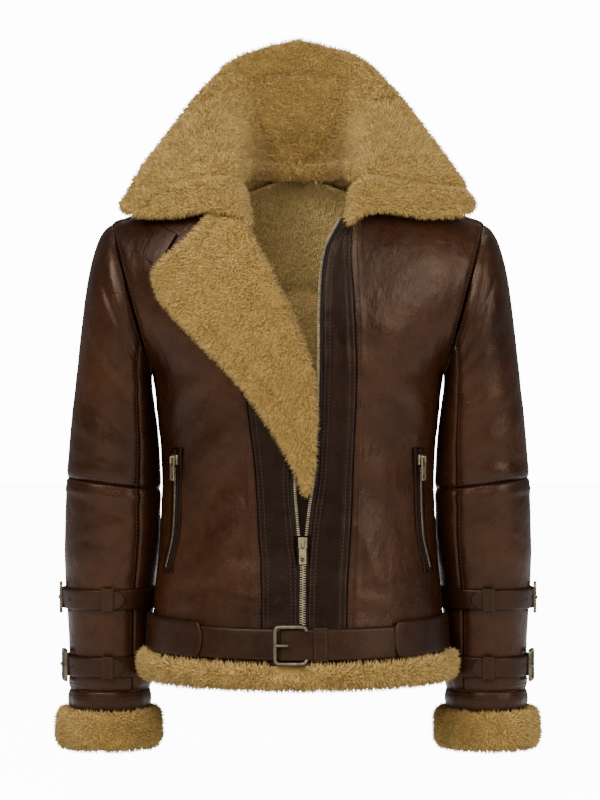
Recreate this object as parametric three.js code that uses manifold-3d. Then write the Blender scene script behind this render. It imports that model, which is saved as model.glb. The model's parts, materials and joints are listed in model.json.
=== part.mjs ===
// Sheepskin flying jacket, worn form with no wearer. Millimetres, +Z up, front towards -Y, +X to the
// right as seen from the front. The origin is between the shoulders, where the wearer carries it.
// Every piece of cloth is a closed wall: a surface worked out from the sizes below, and the same
// surface moved inwards by the thickness of the sheepskin.
import * as THREE from "three";
import { mergeVertices } from "three/addons/utils/BufferGeometryUtils.js";
import Module from "manifold-3d";

const wasm = await Module();
wasm.setup();

// Driving dimensions
const SEAM_GAP = 0.3;
const ZIP_GAP = 3.6; // from the middle of the teeth to the strip's folded edge
const SKIN = 7; // leather with clipped fleece inside
const FLEECE = 13; // collar and lapel, leather with long fleece
const ARMPIT_Z = -217;
const CHEST_HALF_DEPTH = 143;
const BACK_SHIFT = 8; // the shoulder ridge lies this far behind the origin
const SHOULDER_TIP = { x: 240, z: -24 };
const SHOULDER_SLOPE = 0.39;
const ARMHOLE = { halfDepth: 68, x: 187.5 };
const STRAP_WIDTH = 27;
const STRAP_THICK = 3;
const BELT_WIDTH = 40;
const BELT_THICK = 3.4;
const BELT_TOP_Z = -524;
const BELT_SAG = 9; // the belt hangs lower at the front
const PANEL_FOOT_Z = -540;
const BAND_FOOT_Z = -584;
const HEM_FOOT_Z = -602;
const YOKE_Z = -103;
const NECK_RIDGE_Z = 46; // height of the shoulder line where it meets the neck
const BACK_SEAM_X = 14;
const SHOULDER_SEAM_LEVEL = 0.86; // levels run from 0 at the armpit to 1 at the shoulder ridge
const NECK_LEVEL = 0.545;
const NAPE_LEVEL = 0.79;
const ELBOW_Z = -359;
const WRIST_SEAM_Z = -628;
const CUFF_TOP_Z = -655;
const CUFF_FOOT_Z = -706;
const CUFF_WALL = 21; // leather turned back with the fleece out
const UNDER_SEAM = { front: 128, back: 232 }; // angles of the sleeve's two long seams
const STRAPS = [
  { name: "upper", z: -508, outset: 1.55, turn: 6, buckleTall: 40, buckleLong: 28 },
  { name: "lower", z: -596, outset: 1.2, turn: 14, buckleTall: 42, buckleLong: 30 },
];
const SLIDER = { z: -428, wide: 11, tall: 13, thick: 3.4 };
const TAB = { wide: 9, long: 27, thick: 1.6, hole: 4.6 };
const HINGE_Y = -SLIDER.thick - 2.5;

const LEATHER = { color: 0x3a241b, roughness: 0.45, metalness: 0 };
const STRIP_LEATHER = { color: 0x2e1c1b, roughness: 0.45, metalness: 0 };
const STRAP_LEATHER = { color: 0x4a2a1c, roughness: 0.5, metalness: 0 };
const FUR = { color: 0xb4915a, roughness: 1, metalness: 0 };
const METAL = { color: 0x6d6353, roughness: 0.35, metalness: 0.9 };

// Body rings below the armpit: half-width, and half-depth from the centre line
const BODY_RINGS = [
  { z: -217, halfWidth: 187, halfDepth: 143 },
  { z: -270, halfWidth: 181, halfDepth: 139 },
  { z: -342, halfWidth: 175, halfDepth: 131 },
  { z: -430, halfWidth: 178, halfDepth: 131 },
  { z: -497, halfWidth: 184, halfDepth: 137 },
  { z: -560, halfWidth: 188, halfDepth: 143 },
  { z: -604, halfWidth: 190, halfDepth: 146 },
];
// Sleeve rings, left and right alike: the outer and inner silhouette, and the half-depth
const SLEEVE_RINGS = [
  { outerX: 240, outerZ: -24, innerX: 188.4, innerZ: -217, halfDepth: 68, midY: 8 },
  { outerX: 257, outerZ: -44, innerX: 188.8, innerZ: -226, halfDepth: 72, midY: 8 },
  { outerX: 269, outerZ: -85, innerX: 188, innerZ: -240, halfDepth: 72, midY: 9 },
  { outerX: 279, outerZ: -150, innerX: 185, innerZ: -262, halfDepth: 70, midY: 11 },
  { outerX: 288, outerZ: -230, innerX: 181, innerZ: -295, halfDepth: 66, midY: 13 },
  { outerX: 296, outerZ: -305, innerX: 178.5, innerZ: -335, halfDepth: 63, midY: 16 },
  { outerX: 301, outerZ: -375, innerX: 178.5, innerZ: -385, halfDepth: 62, midY: 20 },
  { outerX: 303, outerZ: -440, innerX: 180, innerZ: -440, halfDepth: 61, midY: 26 },
  { outerX: 302, outerZ: -500, innerX: 187, innerZ: -500, halfDepth: 58, midY: 33 },
  { outerX: 299, outerZ: -570, innerX: 191, innerZ: -570, halfDepth: 55, midY: 42 },
  { outerX: 299, outerZ: -654.5, innerX: 193.5, innerZ: -654.5, halfDepth: 53, midY: 48 },
];
// Zip edge of the front that closes over, and the outer seam of its darker strip
const RIGHT_EDGE = [
  { z: -604, zipX: 6, seamX: 62 },
  { z: -497, zipX: 7.5, seamX: 62 },
  { z: -440, zipX: 10, seamX: 65 },
  { z: -390, zipX: 15, seamX: 68 },
  { z: -342, zipX: 21.5, seamX: 69.5 },
  { z: -220, zipX: 26.5, seamX: 74 },
  { z: -115, zipX: 28, seamX: 70 },
  { z: -65, zipX: 34, seamX: 67 },
  { z: -35, zipX: 48, seamX: 70 },
  { z: -12, zipX: 62, seamX: 72 },
];
// The other front: its zip row, which runs up under the lapel, and the strip's outer seam
const LEFT_EDGE = [
  { z: -604, zipX: 5, seamX: -46 },
  { z: -450, zipX: 3.5, seamX: -47 },
  { z: -430, zipX: 0.5, seamX: -49 },
  { z: -342, zipX: -5, seamX: -54 },
  { z: -290, zipX: 4, seamX: -60 },
  { z: -200, zipX: 2, seamX: -72 },
  { z: -115, zipX: -20, seamX: -84 },
  { z: -50, zipX: -50, seamX: -95 },
  { z: -12, zipX: -66, seamX: -100 },
];
// Lapel: the fold line and the outer edge, in pairs from the collar down to the point
const LAPEL_ROWS = [
  { foldX: -70, foldZ: -10, edgeX: -106, edgeZ: -17 },
  { foldX: -66, foldZ: -22, edgeX: -135, edgeZ: -52 },
  { foldX: -57, foldZ: -50, edgeX: -174, edgeZ: -84 },
  { foldX: -42, foldZ: -78, edgeX: -178, edgeZ: -104 },
  { foldX: -26, foldZ: -110, edgeX: -170, edgeZ: -124 },
  { foldX: -6, foldZ: -152, edgeX: -142, edgeZ: -157 },
  { foldX: 9, foldZ: -190, edgeX: -106, edgeZ: -193 },
  { foldX: 19, foldZ: -227, edgeX: -72, edgeZ: -229 },
  { foldX: 21, foldZ: -262, edgeX: -45, edgeZ: -266 },
  { foldX: 21, foldZ: -300, edgeX: -22, edgeZ: -302 },
  { foldX: 18, foldZ: -338, edgeX: -3, edgeZ: -338 },
  { foldX: 13, foldZ: -368, edgeX: 8, edgeZ: -368 },
];
// Collar ribs from the neck front (0) round to the nape (1), right side. Each is a curve over the
// leather side through the neck seam, the roll, a middle point and the free edge, as x, y and z.
const COLLAR_RIBS = [
  { along: 0, seam: [62, -86, -13], roll: [84, -100, -4], middle: [152, -76, -22], edge: [228, -44, -18] },
  { along: 0.25, seam: [78, -48, 29], roll: [92, -58, 42], middle: [148, -38, 40], edge: [203, -14, 32] },
  { along: 0.5, seam: [74, -2, 43.5], roll: [84, 0, 82], middle: [120, 16, 104], edge: [160, 30, 98] },
  { along: 0.75, seam: [54, 42, 47], roll: [72, 53, 100], middle: [92, 62, 142], edge: [112, 70, 168] },
  { along: 0.88, seam: [33, 63, 46], roll: [46, 75, 104], middle: [62, 85, 158], edge: [76, 91, 201] },
  { along: 1, seam: [0, 68.5, 55], roll: [0, 83, 108], middle: [0, 95, 168], edge: [0, 104, 225] },
];
const NOTCH_ALONG = 0.86; // the band on the collar's back edge ends here
const BACK_BAND_FROM = 0.75; // share of the collar's height below that band
const FRONT_BAND_TO = 0.17; // share of the way to the nape that the front band takes

// The largest folds: place, direction across the fold in degrees, length, width and height
const BODY_FOLDS = [
  { x: 150, z: -235, turn: 35, length: 110, width: 26, height: 4, side: -1 },
  { x: -150, z: -235, turn: -35, length: 110, width: 26, height: 4, side: -1 },
  { x: 120, z: -300, turn: 60, length: 150, width: 34, height: -3, side: -1 },
  { x: -118, z: -290, turn: -62, length: 160, width: 34, height: -3, side: -1 },
  { x: 110, z: -480, turn: 15, length: 120, width: 40, height: 3, side: -1 },
  { x: -110, z: -470, turn: -18, length: 130, width: 40, height: 3, side: -1 },
  { x: 130, z: -230, turn: 40, length: 130, width: 30, height: 4, side: 1 },
  { x: -130, z: -230, turn: -40, length: 130, width: 30, height: 4, side: 1 },
  { x: 60, z: -450, turn: 10, length: 160, width: 44, height: 4, side: 1 },
  { x: -80, z: -440, turn: -12, length: 150, width: 44, height: 4, side: 1 },
];
// Sleeve creases: share of the way down, angle round the sleeve, spread of both, and height
const SLEEVE_FOLDS = [
  { down: 0.22, round: 60, spreadDown: 0.045, spreadRound: 50, height: 3.5 },
  { down: 0.34, round: 110, spreadDown: 0.03, spreadRound: 60, height: -3.5 },
  { down: 0.46, round: 150, spreadDown: 0.03, spreadRound: 70, height: 3.5 },
  { down: 0.56, round: 140, spreadDown: 0.025, spreadRound: 60, height: -3 },
  { down: 0.72, round: 60, spreadDown: 0.03, spreadRound: 60, height: 3 },
  { down: 0.83, round: 120, spreadDown: 0.025, spreadRound: 60, height: -3 },
  { down: 0.4, round: -110, spreadDown: 0.03, spreadRound: 70, height: 3.5 },
  { down: 0.6, round: -130, spreadDown: 0.03, spreadRound: 60, height: -3 },
  { down: 0.78, round: -90, spreadDown: 0.03, spreadRound: 70, height: 3 },
];

const rad = THREE.MathUtils.degToRad;
const mix = (a, b, t) => a + (b - a) * t;
const clamp = THREE.MathUtils.clamp;
const smooth = (t) => t * t * (3 - 2 * t);

// A column of a table at a place along its key column, as a smooth curve through the rows
function readTable(rows, key, column, at) {
  const sign = rows[rows.length - 1][key] > rows[0][key] ? 1 : -1;
  let i = 0;
  while (i < rows.length - 2 && sign * at > sign * rows[i + 1][key]) i += 1;
  const t = clamp((at - rows[i][key]) / (rows[i + 1][key] - rows[i][key]), 0, 1);
  const before = rows[Math.max(i - 1, 0)];
  const after = rows[Math.min(i + 2, rows.length - 1)];
  const span = rows[i + 1][key] - rows[i][key];
  const slopeIn = ((rows[i + 1][column] - before[column]) / (rows[i + 1][key] - before[key])) * span;
  const slopeOut = ((after[column] - rows[i][column]) / (after[key] - rows[i][key])) * span;
  const t2 = t * t;
  const t3 = t2 * t;
  return (
    rows[i][column] * (2 * t3 - 3 * t2 + 1) +
    slopeIn * (t3 - 2 * t2 + t) +
    rows[i + 1][column] * (3 * t2 - 2 * t3) +
    slopeOut * (t3 - t2)
  );
}

const shoulderZ = (x) => SHOULDER_TIP.z + SHOULDER_SLOPE * (SHOULDER_TIP.x - Math.abs(x));
const ringOf = (z) => ({
  a: readTable(BODY_RINGS, "z", "halfWidth", z),
  b: readTable(BODY_RINGS, "z", "halfDepth", z),
});

// One level of the body. Level -1 is the foot, 0 the armpit and 1 the shoulder ridge.
function levelOf(level, back) {
  if (level <= 0) {
    const z = mix(ARMPIT_Z, HEM_FOOT_Z, -level);
    const ring = ringOf(z);
    return { a: ring.a, b: ring.b, endAngle: 90, zAt: () => z, shift: BACK_SHIFT * (1 + level) };
  }
  const rise = Math.sin((level * Math.PI) / 2);
  const fall = Math.pow(Math.max(1 - rise * rise, 1e-9), 0.375);
  const b = Math.max((CHEST_HALF_DEPTH + (back ? -6 * rise : 0)) * fall, 1);
  const edge = armholeAt(rise);
  const cosine = clamp(edge.depth / b, 0, 0.97);
  const endAngle = 90 - THREE.MathUtils.radToDeg(Math.asin(cosine));
  return {
    a: edge.x / Math.sin(rad(endAngle)),
    b,
    endAngle,
    zAt: (x) => ARMPIT_Z + rise * (shoulderZ(x) - ARMPIT_Z),
    shift: BACK_SHIFT,
  };
}

// The armhole at a share of the height between armpit and shoulder tip
function armholeAt(rise) {
  const tall = SHOULDER_TIP.z - ARMPIT_Z;
  const lean = SHOULDER_SLOPE * (SHOULDER_TIP.x - ARMHOLE.x);
  const up = clamp((rise * (tall + lean)) / (tall + rise * lean), 0, 1);
  return {
    x: mix(ARMHOLE.x, SHOULDER_TIP.x, up),
    depth: ARMHOLE.halfDepth * 2 * Math.sqrt(Math.max(up * (1 - up), 0)),
  };
}

function foldHeight(x, z, side) {
  let height = 0;
  for (const f of BODY_FOLDS) {
    if (f.side !== side) continue;
    const c = Math.cos(rad(f.turn));
    const s = Math.sin(rad(f.turn));
    const across = ((x - f.x) * c + (z - f.z) * s) / f.width;
    const along = (-(x - f.x) * s + (z - f.z) * c) / (f.length / 2);
    height += f.height * Math.exp(-across * across - along * along);
  }
  return height * clamp((z + 520) / 40, 0, 1);
}

// A point of the body: angle from the front centre line, positive to the right, and the level
function bodyPoint(angle, level) {
  const back = Math.abs(angle) > 90;
  const L = levelOf(level, back);
  const x = L.a * Math.sin(rad(angle));
  const y = L.shift - L.b * Math.cos(rad(angle));
  const z = L.zAt(x);
  const soft = foldHeight(x, z, back ? 1 : -1) * Math.abs(Math.cos(rad(angle)));
  return new THREE.Vector3(x, y + (back ? soft : -soft), z);
}

// Level and angle of the front surface's point at a given x and z, or the back's
function levelAt(x, z) {
  if (z <= ARMPIT_Z) return (z - ARMPIT_Z) / (ARMPIT_Z - HEM_FOOT_Z);
  const rise = clamp((z - ARMPIT_Z) / (shoulderZ(x) - ARMPIT_Z), 0, 1);
  return (Math.asin(rise) * 2) / Math.PI;
}
function angleAt(x, z, back = false) {
  const L = levelOf(levelAt(x, z), back);
  const turn = THREE.MathUtils.radToDeg(Math.asin(clamp(x / L.a, -1, 1)));
  return back ? Math.sign(turn || 1) * 180 - turn : turn;
}
const frontPoint = (x, z) => bodyPoint(angleAt(x, z), levelAt(x, z));
const backPoint = (x, z) => bodyPoint(angleAt(x, z, true), levelAt(x, z));

// The outward direction of a surface given as a function of two numbers
function outward(surface, u, v, du, dv, away) {
  const along = surface(u + du, v).sub(surface(u - du, v));
  const up = surface(u, v + dv).sub(surface(u, v - dv));
  const n = along.cross(up).normalize();
  return n.dot(away(surface(u, v))) < 0 ? n.negate() : n;
}
const awayFromTrunk = (p) => new THREE.Vector3(p.x * 0.3, p.y - BACK_SHIFT, p.z > -60 ? 60 : 0);
const bodyNormal = (x, z) => outward(frontPoint, x, z, 1.5, 1.5, awayFromTrunk);
// A point in front of the front panels, this far from their face
const inFront = (x, z, far) => frontPoint(x, z).addScaledVector(bodyNormal(x, z), far);

// A closed wall from two grids of points with the same rows and columns
function wallFromGrids(outer, inner) {
  const rows = outer.length;
  const cols = outer[0].length;
  const points = [...outer.flat(), ...inner.flat()].flatMap((p) => [p.x, p.y, p.z]);
  const at = (r, c, side) => side * rows * cols + r * cols + c;
  const index = [];
  const quad = (a, b, c, d) => index.push(a, b, c, a, c, d);
  for (let r = 0; r < rows - 1; r += 1)
    for (let c = 0; c < cols - 1; c += 1) {
      quad(at(r, c, 0), at(r, c + 1, 0), at(r + 1, c + 1, 0), at(r + 1, c, 0));
      quad(at(r, c, 1), at(r + 1, c, 1), at(r + 1, c + 1, 1), at(r, c + 1, 1));
    }
  for (let c = 0; c < cols - 1; c += 1) {
    quad(at(0, c, 1), at(0, c + 1, 1), at(0, c + 1, 0), at(0, c, 0));
    quad(at(rows - 1, c, 0), at(rows - 1, c + 1, 0), at(rows - 1, c + 1, 1), at(rows - 1, c, 1));
  }
  for (let r = 0; r < rows - 1; r += 1) {
    quad(at(r, 0, 0), at(r + 1, 0, 0), at(r + 1, 0, 1), at(r, 0, 1));
    quad(at(r, cols - 1, 1), at(r + 1, cols - 1, 1), at(r + 1, cols - 1, 0), at(r, cols - 1, 0));
  }
  return solidGeometry(points, index);
}

// A closed ring from rows of a profile, the last row joining the first
function ringFromSections(sections) {
  const n = sections.length;
  const m = sections[0].length;
  const index = [];
  for (let i = 0; i < n; i += 1)
    for (let j = 0; j < m; j += 1) {
      const a = i * m + j;
      const b = i * m + ((j + 1) % m);
      const c = ((i + 1) % n) * m + ((j + 1) % m);
      const d = ((i + 1) % n) * m + j;
      index.push(a, b, c, a, c, d);
    }
  return solidGeometry(sections.flat().flatMap((p) => [p.x, p.y, p.z]), index);
}

// A closed bar from sections in order, with flat ends
function barFromSections(sections) {
  const n = sections.length;
  const m = sections[0].length;
  const index = [];
  for (let i = 0; i < n - 1; i += 1)
    for (let j = 0; j < m; j += 1) {
      const a = i * m + j;
      const b = i * m + ((j + 1) % m);
      index.push(a, b, b + m, a, b + m, a + m);
    }
  for (let j = 1; j < m - 1; j += 1) {
    index.push(0, j + 1, j);
    index.push((n - 1) * m, (n - 1) * m + j, (n - 1) * m + j + 1);
  }
  return solidGeometry(sections.flat().flatMap((p) => [p.x, p.y, p.z]), index);
}

// A geometry from points and triangles, turned so that its faces point out
function solidGeometry(points, index) {
  const g = new THREE.BufferGeometry();
  g.setAttribute("position", new THREE.Float32BufferAttribute(points, 3));
  let volume = 0;
  const p = (i) => new THREE.Vector3(points[3 * i], points[3 * i + 1], points[3 * i + 2]);
  for (let i = 0; i < index.length; i += 3)
    volume += p(index[i]).dot(p(index[i + 1]).cross(p(index[i + 2])));
  if (volume < 0)
    for (let i = 0; i < index.length; i += 3) [index[i], index[i + 1]] = [index[i + 1], index[i]];
  g.setIndex(index);
  return g;
}

function toManifold(geometry) {
  const g = geometry.clone();
  g.deleteAttribute("normal");
  g.deleteAttribute("uv");
  const merged = mergeVertices(g, 1e-3);
  return new wasm.Manifold(
    new wasm.Mesh({
      numProp: 3,
      vertProperties: new Float32Array(merged.attributes.position.array),
      triVerts: new Uint32Array(merged.index.array),
    }),
  );
}
function fromManifold(solid) {
  const mesh = solid.getMesh();
  const g = new THREE.BufferGeometry();
  g.setAttribute("position", new THREE.BufferAttribute(mesh.vertProperties, 3));
  g.setIndex(new THREE.BufferAttribute(mesh.triVerts, 1));
  return g;
}
const joined = (...parts) => fromManifold(parts.map(toManifold).reduce((a, b) => a.add(b)));
const cutFrom = (whole, ...cuts) =>
  fromManifold(cuts.map(toManifold).reduce((a, b) => a.subtract(b), toManifold(whole)));

const jacket = new THREE.Group();
function addPiece(name, geometry, look) {
  const mesh = new THREE.Mesh(geometry, new THREE.MeshStandardMaterial(look));
  mesh.name = name;
  jacket.add(mesh);
  return mesh;
}

// A wall whose outer face is surface(u, v) on an even grid, u and v from 0 to 1
function panelWall(surface, cols, rows, thick, away, normalAt) {
  const outer = [];
  const inner = [];
  const e = 0.01;
  for (let r = 0; r <= rows; r += 1) {
    outer.push([]);
    inner.push([]);
    for (let c = 0; c <= cols; c += 1) {
      const u = c / cols;
      const v = r / rows;
      const p = surface(u, v);
      const n = normalAt
        ? normalAt(u, v)
        : outward(surface, clamp(u, e, 1 - e), clamp(v, e, 1 - e), e, e, away);
      outer[r].push(p);
      inner[r].push(p.clone().addScaledVector(n, -thick));
    }
  }
  return wallFromGrids(outer, inner);
}

const bodyGapAngle = ((SEAM_GAP * 0.8) / 150) * (180 / Math.PI);
const levelGap = SEAM_GAP / 2 / 385;

// A body panel between two angle curves, from one level to another. The columns can crowd to one
// side, where the neckline curves.
function bodyPanel(angleFrom, angleTo, levelFrom, levelTo, cols, rows, spread = (u) => u) {
  return panelWall(
    (share, v) => {
      const u = spread(share);
      const start = angleFrom(mix(levelFrom, levelTo(0), v)) + bodyGapAngle;
      const end = angleTo(mix(levelFrom, levelTo(1), v)) - bodyGapAngle;
      const level = mix(levelFrom, levelTo(u), v) + (v < 0.5 ? levelGap : -levelGap);
      return bodyPoint(mix(start, end, u), level);
    },
    cols,
    rows,
    SKIN,
    awayFromTrunk,
  );
}

const edgeX = (rows, column, level) => readTable(rows, "z", column, roughZ(level));
// How far a strip's edge stays from the middle of its zip, measured sideways on a slanting zip
const slopeOf = (xAt, z) => (xAt(z + 2) - xAt(z - 2)) / 4;
function zipClearance(rows, level) {
  const slope = slopeOf((z) => readTable(rows, "z", "zipX", z), roughZ(level));
  return ZIP_GAP * Math.hypot(1, slope) + 3 * Math.abs(slope);
}
function roughZ(level) {
  if (level <= 0) return mix(ARMPIT_Z, HEM_FOOT_Z, -level);
  return mix(ARMPIT_Z, NECK_RIDGE_Z, Math.sin((level * Math.PI) / 2));
}
const frontAngle = (x, level) =>
  THREE.MathUtils.radToDeg(Math.asin(clamp(x / levelOf(level, false).a, -1, 1)));
const footLevel = (PANEL_FOOT_Z - ARMPIT_Z) / (ARMPIT_Z - HEM_FOOT_Z);
const shoulderSeam = (u) => mix(NECK_LEVEL, SHOULDER_SEAM_LEVEL, smooth(clamp(u * 7, 0, 1)));
const crowd = (u) => Math.pow(u, 1.8);

function makeFronts() {
  const armEnd = (level) => levelOf(level, false).endAngle;
  addPiece(
    "front_right_panel",
    bodyPanel(
      (l) => frontAngle(edgeX(RIGHT_EDGE, "seamX", l), l),
      armEnd,
      footLevel,
      shoulderSeam,
      9,
      20,
      crowd,
    ),
    LEATHER,
  );
  addPiece(
    "front_right_strip",
    bodyPanel(
      (l) => frontAngle(edgeX(RIGHT_EDGE, "zipX", l) + zipClearance(RIGHT_EDGE, l), l),
      (l) => frontAngle(edgeX(RIGHT_EDGE, "seamX", l), l),
      footLevel,
      () => NECK_LEVEL,
      2,
      20,
    ),
    STRIP_LEATHER,
  );
  addPiece(
    "front_left_panel",
    bodyPanel(
      (l) => -armEnd(l),
      (l) => frontAngle(edgeX(LEFT_EDGE, "seamX", l), l),
      footLevel,
      (u) => shoulderSeam(1 - u),
      9,
      20,
      (u) => 1 - crowd(1 - u),
    ),
    LEATHER,
  );
  addPiece(
    "front_left_strip",
    bodyPanel(
      (l) => frontAngle(edgeX(LEFT_EDGE, "seamX", l), l),
      (l) => frontAngle(edgeX(LEFT_EDGE, "zipX", l) - zipClearance(LEFT_EDGE, l), l),
      footLevel,
      () => NECK_LEVEL,
      2,
      20,
    ),
    STRIP_LEATHER,
  );
}

function makeBack() {
  const yokeLevel = levelAt(0, YOKE_Z);
  const armEnd = (level) => levelOf(level, true).endAngle;
  const seamAngle = (level) =>
    THREE.MathUtils.radToDeg(Math.asin(BACK_SEAM_X / levelOf(level, true).a));
  addPiece(
    "back_lower_right",
    bodyPanel((l) => 180 - armEnd(l), (l) => 180 - seamAngle(l), footLevel, () => yokeLevel, 8, 14),
    LEATHER,
  );
  addPiece(
    "back_lower_left",
    bodyPanel((l) => 180 - seamAngle(l), (l) => 180 + armEnd(l), footLevel, () => yokeLevel, 8, 14),
    LEATHER,
  );
  // The yoke runs over the shoulder ridge to the seam at the front, with the nape cut out
  const columns = 24;
  const rowsUp = 8;
  const half = (side) => {
    const surface = (u, v) => {
      const outerShare = 1 - u;
      const top = mix(
        2 - SHOULDER_SEAM_LEVEL - 0.008,
        NAPE_LEVEL,
        smooth(clamp((u - 0.7) * 5.2, 0, 1)),
      );
      const t = mix(yokeLevel, top, v);
      const over = t > 1;
      const level = Math.min(over ? 2 - t : t, 0.995);
      const L = levelOf(level, !over);
      const turn = L.endAngle * outerShare - bodyGapAngle;
      return bodyPoint(side * (over ? turn : 180 - turn), level);
    };
    return surface;
  };
  const outer = [];
  const inner = [];
  for (let r = 0; r <= rowsUp; r += 1) {
    outer.push([]);
    inner.push([]);
    for (let c = 0; c <= columns; c += 1) {
      const right = c >= columns / 2;
      const surface = half(right ? 1 : -1);
      const u = 1 - Math.abs(c / columns - 0.5) * 2;
      const v = r / rowsUp;
      const p = surface(u, v);
      const e = 0.02;
      const n = outward(surface, clamp(u, e, 1 - e), clamp(v, e, 1 - e), e, e, awayFromTrunk);
      if (c === columns / 2) n.x = 0;
      const lift = r === 0 ? SEAM_GAP : 0;
      p.z += lift;
      outer[r].push(p);
      inner[r].push(p.clone().addScaledVector(n.normalize(), -SKIN));
    }
  }
  addPiece("back_yoke", wallFromGrids(outer, inner), LEATHER);
}

// Sleeve surface: share of the way down, and the angle round, 0 at the outer side, 90 in front
const SLEEVE_ROWS = SLEEVE_RINGS.map((row, i) => ({ ...row, down: i / (SLEEVE_RINGS.length - 1) }));
function sleevePoint(side, down, round, inset = 0) {
  const read = (column) => readTable(SLEEVE_ROWS, "down", column, down);
  const outer = new THREE.Vector3(read("outerX"), read("midY"), read("outerZ"));
  const inner = new THREE.Vector3(read("innerX"), read("midY"), read("innerZ"));
  const centre = outer.clone().add(inner).multiplyScalar(0.5);
  const half = outer.clone().sub(centre);
  const radius = half.length();
  let crease = 0;
  for (const f of SLEEVE_FOLDS) {
    const d = (down - f.down) / f.spreadDown;
    const a = (((round - f.round + 540) % 360) - 180) / f.spreadRound;
    crease += f.height * Math.exp(-d * d - a * a);
  }
  const nearBody = smooth(clamp((Math.abs(((round + 360) % 360) - 180) - 15) / 45, 0, 1));
  const grow = crease * nearBody - inset;
  const p = centre.clone().addScaledVector(half, ((radius + grow) / radius) * Math.cos(rad(round)));
  p.y -= (read("halfDepth") + grow) * Math.sin(rad(round));
  p.x *= side;
  return p;
}

function sleeveShell(side, from, to, roundFrom, roundTo, cols, rows) {
  const grid = (inset) =>
    Array.from({ length: rows + 1 }, (_, r) =>
      Array.from({ length: cols + 1 }, (_, c) =>
        sleevePoint(side, mix(from, to, r / rows), mix(roundFrom, roundTo, c / cols), inset),
      ),
    );
  return wallFromGrids(grid(0), grid(SKIN));
}
function sleeveRing(side, from, to, thick, outset, cols, rows = 1) {
  const sections = Array.from({ length: cols }, (_, c) => {
    const round = (360 * c) / cols;
    const points = [];
    for (let r = 0; r <= rows; r += 1)
      points.push(sleevePoint(side, mix(from, to, r / rows), round, -outset - thick));
    for (let r = rows; r >= 0; r -= 1)
      points.push(sleevePoint(side, mix(from, to, r / rows), round, -outset));
    return points;
  });
  return ringFromSections(sections);
}
// The share of the way down at which the middle of the sleeve has this height
function downAt(z) {
  let best = 0;
  for (let i = 0; i <= 2000; i += 1) {
    const d = i / 2000;
    const outer = readTable(SLEEVE_ROWS, "down", "outerZ", d);
    const inner = readTable(SLEEVE_ROWS, "down", "innerZ", d);
    if ((outer + inner) / 2 > z) best = d;
  }
  return best;
}

function makeSleeve(side, word) {
  const elbow = downAt(ELBOW_Z);
  const wrist = downAt(WRIST_SEAM_Z);
  const gapDown = SEAM_GAP / 2 / 620;
  const gapRound = 0.16;
  const { front, back } = UNDER_SEAM;
  const spans = [
    { part: "upper", from: 0, to: elbow - gapDown, rows: 10 },
    { part: "lower", from: elbow + gapDown, to: wrist - gapDown, rows: 8 },
  ];
  for (const s of spans) {
    addPiece(
      `sleeve_${word}_${s.part}_top`,
      sleeveShell(side, s.from, s.to, back - 360 + gapRound, front - gapRound, 14, s.rows),
      LEATHER,
    );
    addPiece(
      `sleeve_${word}_${s.part}_under`,
      sleeveShell(side, s.from, s.to, front + gapRound, back - gapRound, 6, s.rows),
      LEATHER,
    );
  }
  addPiece(`sleeve_${word}_wrist_band`, sleeveRing(side, wrist + gapDown, 1, SKIN, -SKIN, 24), LEATHER);
  addPiece(`cuff_fur_${word}`, cuffRoll(side), FUR);
}

// The turned-out fleece cuff: a thick ring with a rounded section
function cuffRoll(side) {
  const centre = { x: 247.5 * side, y: 50 };
  const outerHalf = { x: 70, y: 65 };
  const sections = [];
  for (let c = 0; c < 28; c += 1) {
    const t = (2 * Math.PI * c) / 28;
    const section = [];
    const profile = [
      { inset: 6, z: CUFF_TOP_Z },
      { inset: 1, z: CUFF_TOP_Z - 9 },
      { inset: 0, z: mix(CUFF_TOP_Z, CUFF_FOOT_Z, 0.5) },
      { inset: 1, z: CUFF_FOOT_Z + 9 },
      { inset: 8, z: CUFF_FOOT_Z },
      { inset: CUFF_WALL - 4, z: CUFF_FOOT_Z },
      { inset: CUFF_WALL, z: CUFF_FOOT_Z + 10 },
      { inset: CUFF_WALL, z: CUFF_TOP_Z - 2 },
      { inset: CUFF_WALL - 2, z: CUFF_TOP_Z },
    ];
    for (const p of profile)
      section.push(
        new THREE.Vector3(
          centre.x + (outerHalf.x - p.inset) * Math.cos(t),
          centre.y + (outerHalf.y - p.inset) * Math.sin(t),
          p.z,
        ),
      );
    sections.push(section);
  }
  return ringFromSections(sections);
}

// A round belt or band on the body: its top edge, its height and how far it stands off
const hoopPoint = (angle, z, off) => {
  const ring = ringOf(z);
  const shift = BACK_SHIFT * (1 + (z - ARMPIT_Z) / (ARMPIT_Z - HEM_FOOT_Z));
  return new THREE.Vector3(
    (ring.a + off) * Math.sin(rad(angle)),
    shift - (ring.b + off) * Math.cos(rad(angle)),
    z,
  );
};
const beltDrop = (angle) => (BELT_SAG * (1 + Math.cos(rad(angle)))) / 2;

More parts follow.
